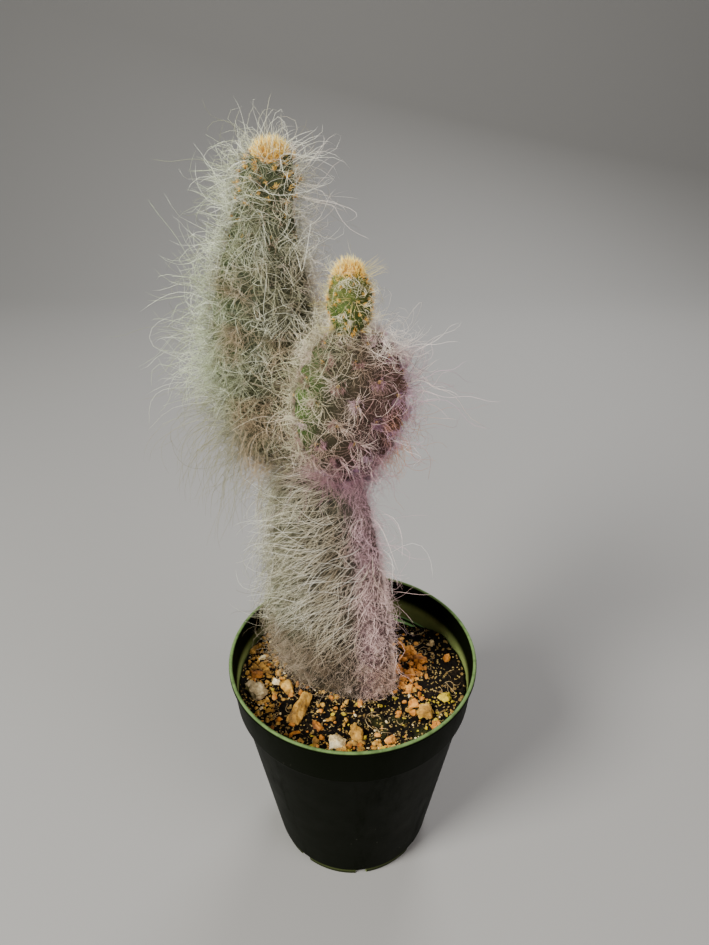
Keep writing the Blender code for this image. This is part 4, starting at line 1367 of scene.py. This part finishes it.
hairGroups = {
    # the lower pad: a felt of short hairs, long ones combed over it to the left and down, a woolly right edge
    "lowerFelt": hairs(
        "pad_lower", "skin", 7600, (4, 8), 2, 0.074, lift=(0.2, 0.5), spread=0.5, comb=(-0.4, 0, -0.9),
        curl=(0.3, 1.0), hover=0.3, cling=0.6, flow=2.5, where=felted,
    ),
    "lowerCombed": hairs(
        "pad_lower", "skin", 4600, (12, 25), 5, 0.068, lift=(0.3, 0.8), spread=0.3, comb=(-1.0, 0, -0.42),
        combLow=(-0.6, 0, -1.0), droop=0.09, curl=(0.15, 0.6), loose=0.35, hover=0.9, cling=0.5, flow=2.2,
        where=notRidge,
    ),
    "lowerStrands": hairs(
        "pad_lower", "skin", 1500, (16, 30), 9, 0.085, tone="strands", lift=(0.5, 1.0), spread=0.3,
        comb=(-1.0, 0, 0.05), combLow=(-0.7, 0, -0.7), droop=0.14, loose=0.25, hover=1.6, cling=0.35,
        flow=2, where=lambda x, z: rising(-np.abs(x + 10 * mm), -21, -6) * aboveFoot(x, z),
    ),
    "lowerFuzz": hairs(
        "pad_lower", "tufts", 12, (6, 15), 4, 0.058, lift=(0.8, 1.2), spread=0.6, comb=(-0.2, 0, -0.2),
        droop=0.03, curl=(0.2, 0.9), loose=0.8, tuft=3, where=notRidge,
    ),
    "lowerRidge": hairs(
        "pad_lower", "skin", 13000, (3, 8), 4, 0.062, lift=(0.5, 1.0), spread=1.0, comb=(0, 0, -0.3),
        curl=(0.8, 2.2), loose=0.8, hover=0.3, where=ridge,
    ),
    "lowerPuffs": hairs(
        "pad_lower", "tufts", 96, (3, 7), 4, 0.062, tone="base_wool", lift=(0.7, 1.1), spread=1.2,
        curl=(1.2, 3.0), waves=(0.8, 1.8), loose=1.0, tuft=2.6, hover=0.3, where=foot,
    ),
    "lowerBase": hairs(
        "pad_lower", "skin", 7200, (4, 10), 5, 0.060, tone="base_wool", lift=(0.4, 0.9), spread=0.9,
        comb=(0, 0, -0.3), curl=(1.0, 2.6), waves=(0.6, 1.8), hover=0.4, flow=1.6, where=foot,
    ),
    # the upper left pad: a tangle of fine curls, thickest and palest at the left
    "leftCurls": hairs(
        "pad_left", "tufts", 19, (12, 24), 6, 0.074, locks=10, lift=(0.6, 1.1), comb=(-0.25, 0, 0.1),
        combLow=(-0.7, 0, 0), droop=0.05, curl=(0.3, 1.1), loose=0.55, tuft=1.4, where=underCrown,
    ),
    "leftFine": hairs(
        "pad_left", "tufts", 27, (8, 17), 4, 0.060, lift=(0.4, 1.0), comb=(-0.2, 0, 0.1),
        combLow=(-0.7, 0, 0), droop=0.03, curl=(0.4, 1.4), loose=0.9, tuft=1.8, where=underCrown,
    ),
    "leftEdge": hairs(
        "pad_left", "skin", 2400, (9, 20), 6, 0.074, lift=(0.7, 1.1), spread=0.8, comb=(-0.4, 0, 0),
        droop=0.06, curl=(0.4, 1.4), loose=0.9, flow=2.5,
        where=lambda x, z: rising(-x, 22, 34, 0.08) * underCrown(x, z),
    ),
    "leftRight": hairs(
        "pad_left", "skin", 7000, (8, 17), 6, 0.062, lift=(0.7, 1.1), spread=0.8, comb=(0.3, 0, 0.1),
        curl=(0.6, 1.8), loose=0.9, where=lambda x, z: rising(x, -23, -15) * rising(z, 240, 260, 0.1),
    ),
    "leftMane": hairs(
        "pad_left", "skin", 2600, (18, 34), 8, 0.075, spread=0.5, comb=(-0.6, 0, 0.2), droop=0.16,
        curl=(0.3, 1.1), waves=(0.6, 1.8), loose=0.9, flow=3,
        where=lambda x, z: (x < -33 * mm) * rising(-z, -272, -242),
    ),
    "leftShort": hairs(
        "pad_left", "skin", 1400, (3, 7), 3, 0.055, lift=(0.3, 0.8), spread=0.9, curl=(0.5, 1.6), loose=0.9,
        hover=0.2,
    ),
    "leftWool": hairs(
        "pad_left", "tufts", 21, (2.5, 6), 3, 0.068, tone="left_wool", lift=(0.8, 1.2), spread=1.0,
        curl=(0.6, 1.8), loose=1.0, tuft=1.7, hover=0.2, where=underCrown,
    ),
    # the upper right pad: wool at each tuft, curled hairs over it
    "rightCurls": hairs(
        "pad_right", "tufts", 19, (10, 19), 6, 0.070, locks=8, lift=(0.4, 1.0), comb=(-0.1, 0, 0.05),
        droop=0.04, curl=(0.6, 1.4), tuft=1.1,
    ),
    "rightFine": hairs(
        "pad_right", "tufts", 26, (7, 14), 4, 0.058, lift=(0.4, 1.0), droop=0.03, curl=(0.5, 1.5), loose=0.9,
        tuft=1.4,
    ),
    "shoulder": hairs(
        "pad_right", "skin", 2600, (4, 10), 5, 0.055, lift=(0.5, 1.0), comb=(0, 0, 0.5), curl=(0.5, 1.6),
        loose=0.8, where=lambda x, z: rising(z, 250, 256),
    ),
    "rightShort": hairs(
        "pad_right", "skin", 1400, (3, 7), 3, 0.055, lift=(0.3, 0.8), spread=0.9, curl=(0.5, 1.6), loose=0.9,
        hover=0.2,
    ),
    "rightWool": hairs(
        "pad_right", "tufts", 96, (1.6, 4.4), 3, 0.070, tone="right_wool", lift=(0.8, 1.2), spread=1.2,
        curl=(0.7, 2.0), loose=1.0, tuft=2.0, hover=0.2,
    ),
    "shootHair": hairs(
        "shoot", "tufts", 12, (4, 9), 5, 0.060, comb=(0, 0, 0.2), curl=(0.3, 1.0), loose=0.7, tuft=0.8,
        grid=(8, 12),
    ),
    "shootFuzz": hairs(
        "shoot", "skin", 1100, (1, 2.8), 2, 0.055, curl=(0.2, 0.9), loose=0.9, hover=0.1,
    ),
    # long strays, tresses under the left pad, and wool round the left of the foot
    "lowerStrays": hairs(
        "pad_lower", "skin", 120, (18, 30), 10, 0.070, lift=(0.6, 1.1), comb=(-0.2, 0, 0), droop=0.04,
        curl=(0.2, 0.8), waves=(0.6, 1.8), where=lambda x, z: 0.2 + 0.8 * (z > 120 * mm),
    ),
    "leftStrays": hairs(
        "pad_left", "skin", 220, (24, 42), 12, 0.075, lift=(0.7, 1.1), comb=(-0.2, 0, 0.1), droop=0.03,
        curl=(0.4, 1.4), waves=(0.6, 2.2),
    ),
    "rightStrays": hairs(
        "pad_right", "skin", 420, (18, 34), 12, 0.075, lift=(0.7, 1.1), comb=(0.2, 0, 0.1), droop=0.05,
        curl=(0.5, 1.5), waves=(0.9, 2.4), where=lambda x, z: rising(np.abs(x + mm), 6, 16, 0.1),
    ),
    "leftTresses": hairs(
        "pad_left", "skin", 1900, (28, 46), 10, 0.080, lift=(0.5, 0.8), spread=0.3, comb=(-0.3, 0, -0.2),
        droop=0.38, curl=(0.1, 0.4), flow=3, where=lambda x, z: 0.8 * ((z < 226 * mm) & (x < -30 * mm)),
    ),
    "lowerSkirt": hairs(
        "pad_lower", "skin", 9000, (8, 15), 4, 0.064, tone="base_wool", lift=(0.9, 1.5), comb=(-0.5, 0, -0.5),
        droop=0.05, curl=(0.5, 1.6), loose=0.7, hover=0.4, flow=2,
        where=lambda x, z: (z < 118 * mm) * rising(-x, 12, 20),
    ),
}


def makeHair():
    looks = {name: hairLook(pieceName(name, "Hair"), tone) for name, tone in hairTones.items()}
    for seed, (name, group) in enumerate(hairGroups.items(), 100):
        paths, marks = growPaths(group, seed)
        piece = tubes(name, paths, group["thick"], looks[group.get("tone", group["pad"])], marks)
        finished(piece, "hairy_skin")
    print("hair grown")


# golden bristles: a dot of them at each tuft of the young growth, and a crown on each growing tip

dots = {
    # pad, how many at a tuft, lengths in mm, lowest place that bears them, grid of tufts
    "leftDots": ("pad_left", 26, (1.2, 2.8), 300 * mm, (34, 18)),
    "leftLowDots": ("pad_left", 7, (1.0, 2.0), 284 * mm, (18, 16)),
    "shootDots": ("shoot", 15, (0.6, 2.0), 200 * mm, (13, 18)),
    "rightDots": ("pad_right", 12, (0.8, 1.8), 222 * mm, (10, 16)),
}
crowns = {
    # node: pad, radius of the cap, number of bristles
    "crown_left": ("pad_left", 5.2 * mm, 1100),
    "crown_right": ("shoot", 4.3 * mm, 800),
}
bristles = {
    # tip, middle and root
    "dotColours": ((1.0, 0.74, 0.20), (0.88, 0.46, 0.05), (0.46, 0.16, 0.012)),
    "crownColours": ((1.0, 0.90, 0.36), (1.0, 0.66, 0.06), (0.74, 0.27, 0.010)),
    "wool": ((0.35, (0.30, 0.13, 0.02)), (0.6, (0.80, 0.50, 0.13))),
    "dotThick": 0.10,  # in mm
    "crownThick": 0.085 * mm,
    "crownLength": (1.1 * mm, 4.0 * mm),
    "rimShorter": 0.55,  # how much shorter they are at the rim of the cap
    "pastRim": 1.04,  # the last ones stand just under the rim
    "rootDepth": 0.8 * mm,
    # they point away from the middle of the cap, and upward
    "spread": (0.6, 0.6, 0.5),
    "upward": (0, 0, 0.65),
    "scatter": 0.12,
    "lean": 0.2,
    "bend": 0.1,
    "capHeight": 3.6 * mm,
    "capSunk": 2.6 * mm,
}
goldenAngle = 137.508


def bristleLook(name, tip, middle, root):
    look = Look(name, roughness=0.45, specular=0.35)
    along, shade = look.attribute("along"), look.attribute("shade")
    colour = look.ramp(along, (0.05, root), (0.5, middle), (1.0, tip))
    colour = look.mix(look.fade(shade, 0.5, 1.0) * 0.6, colour, tip)
    colour = look.mix((1 - look.fade(shade, 0.0, 0.25)) * 0.7, colour, root)
    look.feed("Base Color", colour)
    return look


def makeDots():
    gold = bristleLook("dotBristle", *bristles["dotColours"])
    for seed, (name, (pad, count, length, lowest, grid)) in enumerate(dots.items(), 400):
        group = hairs(
            pad, "tufts", count, length, 2, bristles["dotThick"], lift=(0.8, 1.2), spread=0.5,
            comb=(0, 0, 0.2), curl=(0, 0.1), tuft=0.9, hover=0.1, grid=grid,
            where=lambda x, z, lowest=lowest: 1.0 * (z > lowest),
        )
        paths, marks = growPaths(group, seed)
        finished(tubes(name, paths, group["thick"], gold, marks), "golden_bristle")
    print("bristle dots made")


def makeCap(name, place, turn, half):
    # the woolly cap that the bristles of a crown grow from
    look = Look(pieceName(name, "Wool"), roughness=0.8)
    fleck = look.noise(900, 3)
    look.feed("Base Color", look.ramp(fleck, *bristles["wool"]))
    look.bump(fleck, 0.6 * mm)
    bm = bmesh.new()
    bmesh.ops.create_uvsphere(bm, u_segments=40, v_segments=26, radius=1)
    for vert in bm.verts:
        rough = 0.96 + 0.06 * noise.noise(vert.co * 5)
        vert.co = Vector(place + turn @ (np.array(vert.co) * half * rough))
    finished(meshObject(pieceName(name, "Cap"), bm, look), "golden_bristle", name)


def makeCrowns():
    draw = np.random.default_rng(9)
    gold = bristleLook("crownBristle", *bristles["crownColours"])
    for name, (padName, radius, count) in crowns.items():
        pad = pads[padName]
        place = pad.tip - pad.along * bristles["capSunk"]
        half = np.array((radius, radius * 0.9, bristles["capHeight"]))
        turn = np.stack((pad.across, pad.through, pad.along), 1)
        makeCap(name, place, turn, half)

        # bristles in an even spiral from the top of the cap down to its rim, shorter towards the rim
        number = np.arange(count)
        share = bristles["pastRim"] * np.sqrt((number + 0.5) / count) * math.pi / 2
        angle = number * math.radians(goldenAngle) + draw.normal(0, bristles["scatter"], count)
        ball = np.stack((np.sin(share) * np.cos(angle), np.sin(share) * np.sin(angle), np.cos(share)), 1)
        start = place + (ball * half) @ turn.T
        heading = (ball * bristles["spread"] + bristles["upward"]) @ turn.T
        heading = unit(heading + draw.normal(0, bristles["lean"], (count, 3)))
        size = draw.uniform(*bristles["crownLength"], count)
        size = (size * (1 - bristles["rimShorter"] * (share / share.max()) ** 2))[:, None]
        bend = draw.normal(0, bristles["bend"], (count, 3))
        marks = {"shade": draw.random(count)}
        root = start - heading * bristles["rootDepth"]
        paths = np.stack((root, start + heading * size * 0.5, start + unit(heading + bend) * size), 1)
        piece = tubes(pieceName(name, "Bristles"), paths, bristles["crownThick"], gold, marks, tip=0.8)
        finished(piece, "golden_bristle")
    print("crowns made")


fibres = {
    # step and height in mm
    "count": 150,
    "points": 9,
    "thick": 0.11 * mm,
    "step": (0.3, 1.2),
    "turn": 0.5,
    "wander": 0.25,
    "height": 0.5,
    # one curled root lies in front of the plant, in mm
    "root": ((12, -20.5), (9, -20), (6.5, -21.5), (5.4, -24.5), (6.4, -27.5), (9, -30), (12, -31.5),
             (15, -32.4), (18, -32.6)),
    "rootHeight": 1.3 * mm,
}


def makeFibres(looks):
    # thin roots and dry fibres lying on the mix
    draw = random.Random(5)
    limit = soil["radius"] - 2 * mm
    high, turn, wander = fibres["height"], fibres["turn"], fibres["wander"]
    paths = []
    for number in range(fibres["count"]):
        x, y = scattered(soil["radius"] - 6 * mm, draw)
        heading = draw.uniform(0, math.tau)
        bend = draw.uniform(-turn, turn)
        step = draw.uniform(*fibres["step"]) * mm
        path = []
        for index in range(fibres["points"]):
            held = limit / max(limit, math.hypot(x, y))
            x, y = x * held, y * held
            path.append((x, y, soilHeight(x, y) + high * (1 + math.sin(index * 0.7 + number)) * mm))
            x, y = x + step * math.cos(heading), y + step * math.sin(heading)
            heading += bend + draw.uniform(-wander, wander)
        paths.append(path)
    paths.append([(x, y, soilHeight(x, y) + fibres["rootHeight"]) for x, y in np.array(fibres["root"]) * mm])
    marks = {"shade": np.zeros(len(paths))}
    piece = tubes("rootFibres", np.array(paths), fibres["thick"], looks["fibre"], marks)
    finished(piece, "potting_mix")


def makeMix():
    looks = {slot: stoneLook(*colours) for slot, colours in stoneColours.items()}
    looks["potting_mix"] = soilLook()
    makeSoil(looks)
    makeGrit(looks)
    makeFibres(looks)
    makeStones(looks)
    print("potting mix made")


setCamera()
makeSweep()
makeLights()
makePot()
makeMix()
for padName in pads:
    makeSkin(padName)
print("skins made")
makeHair()
makeDots()
makeCrowns()
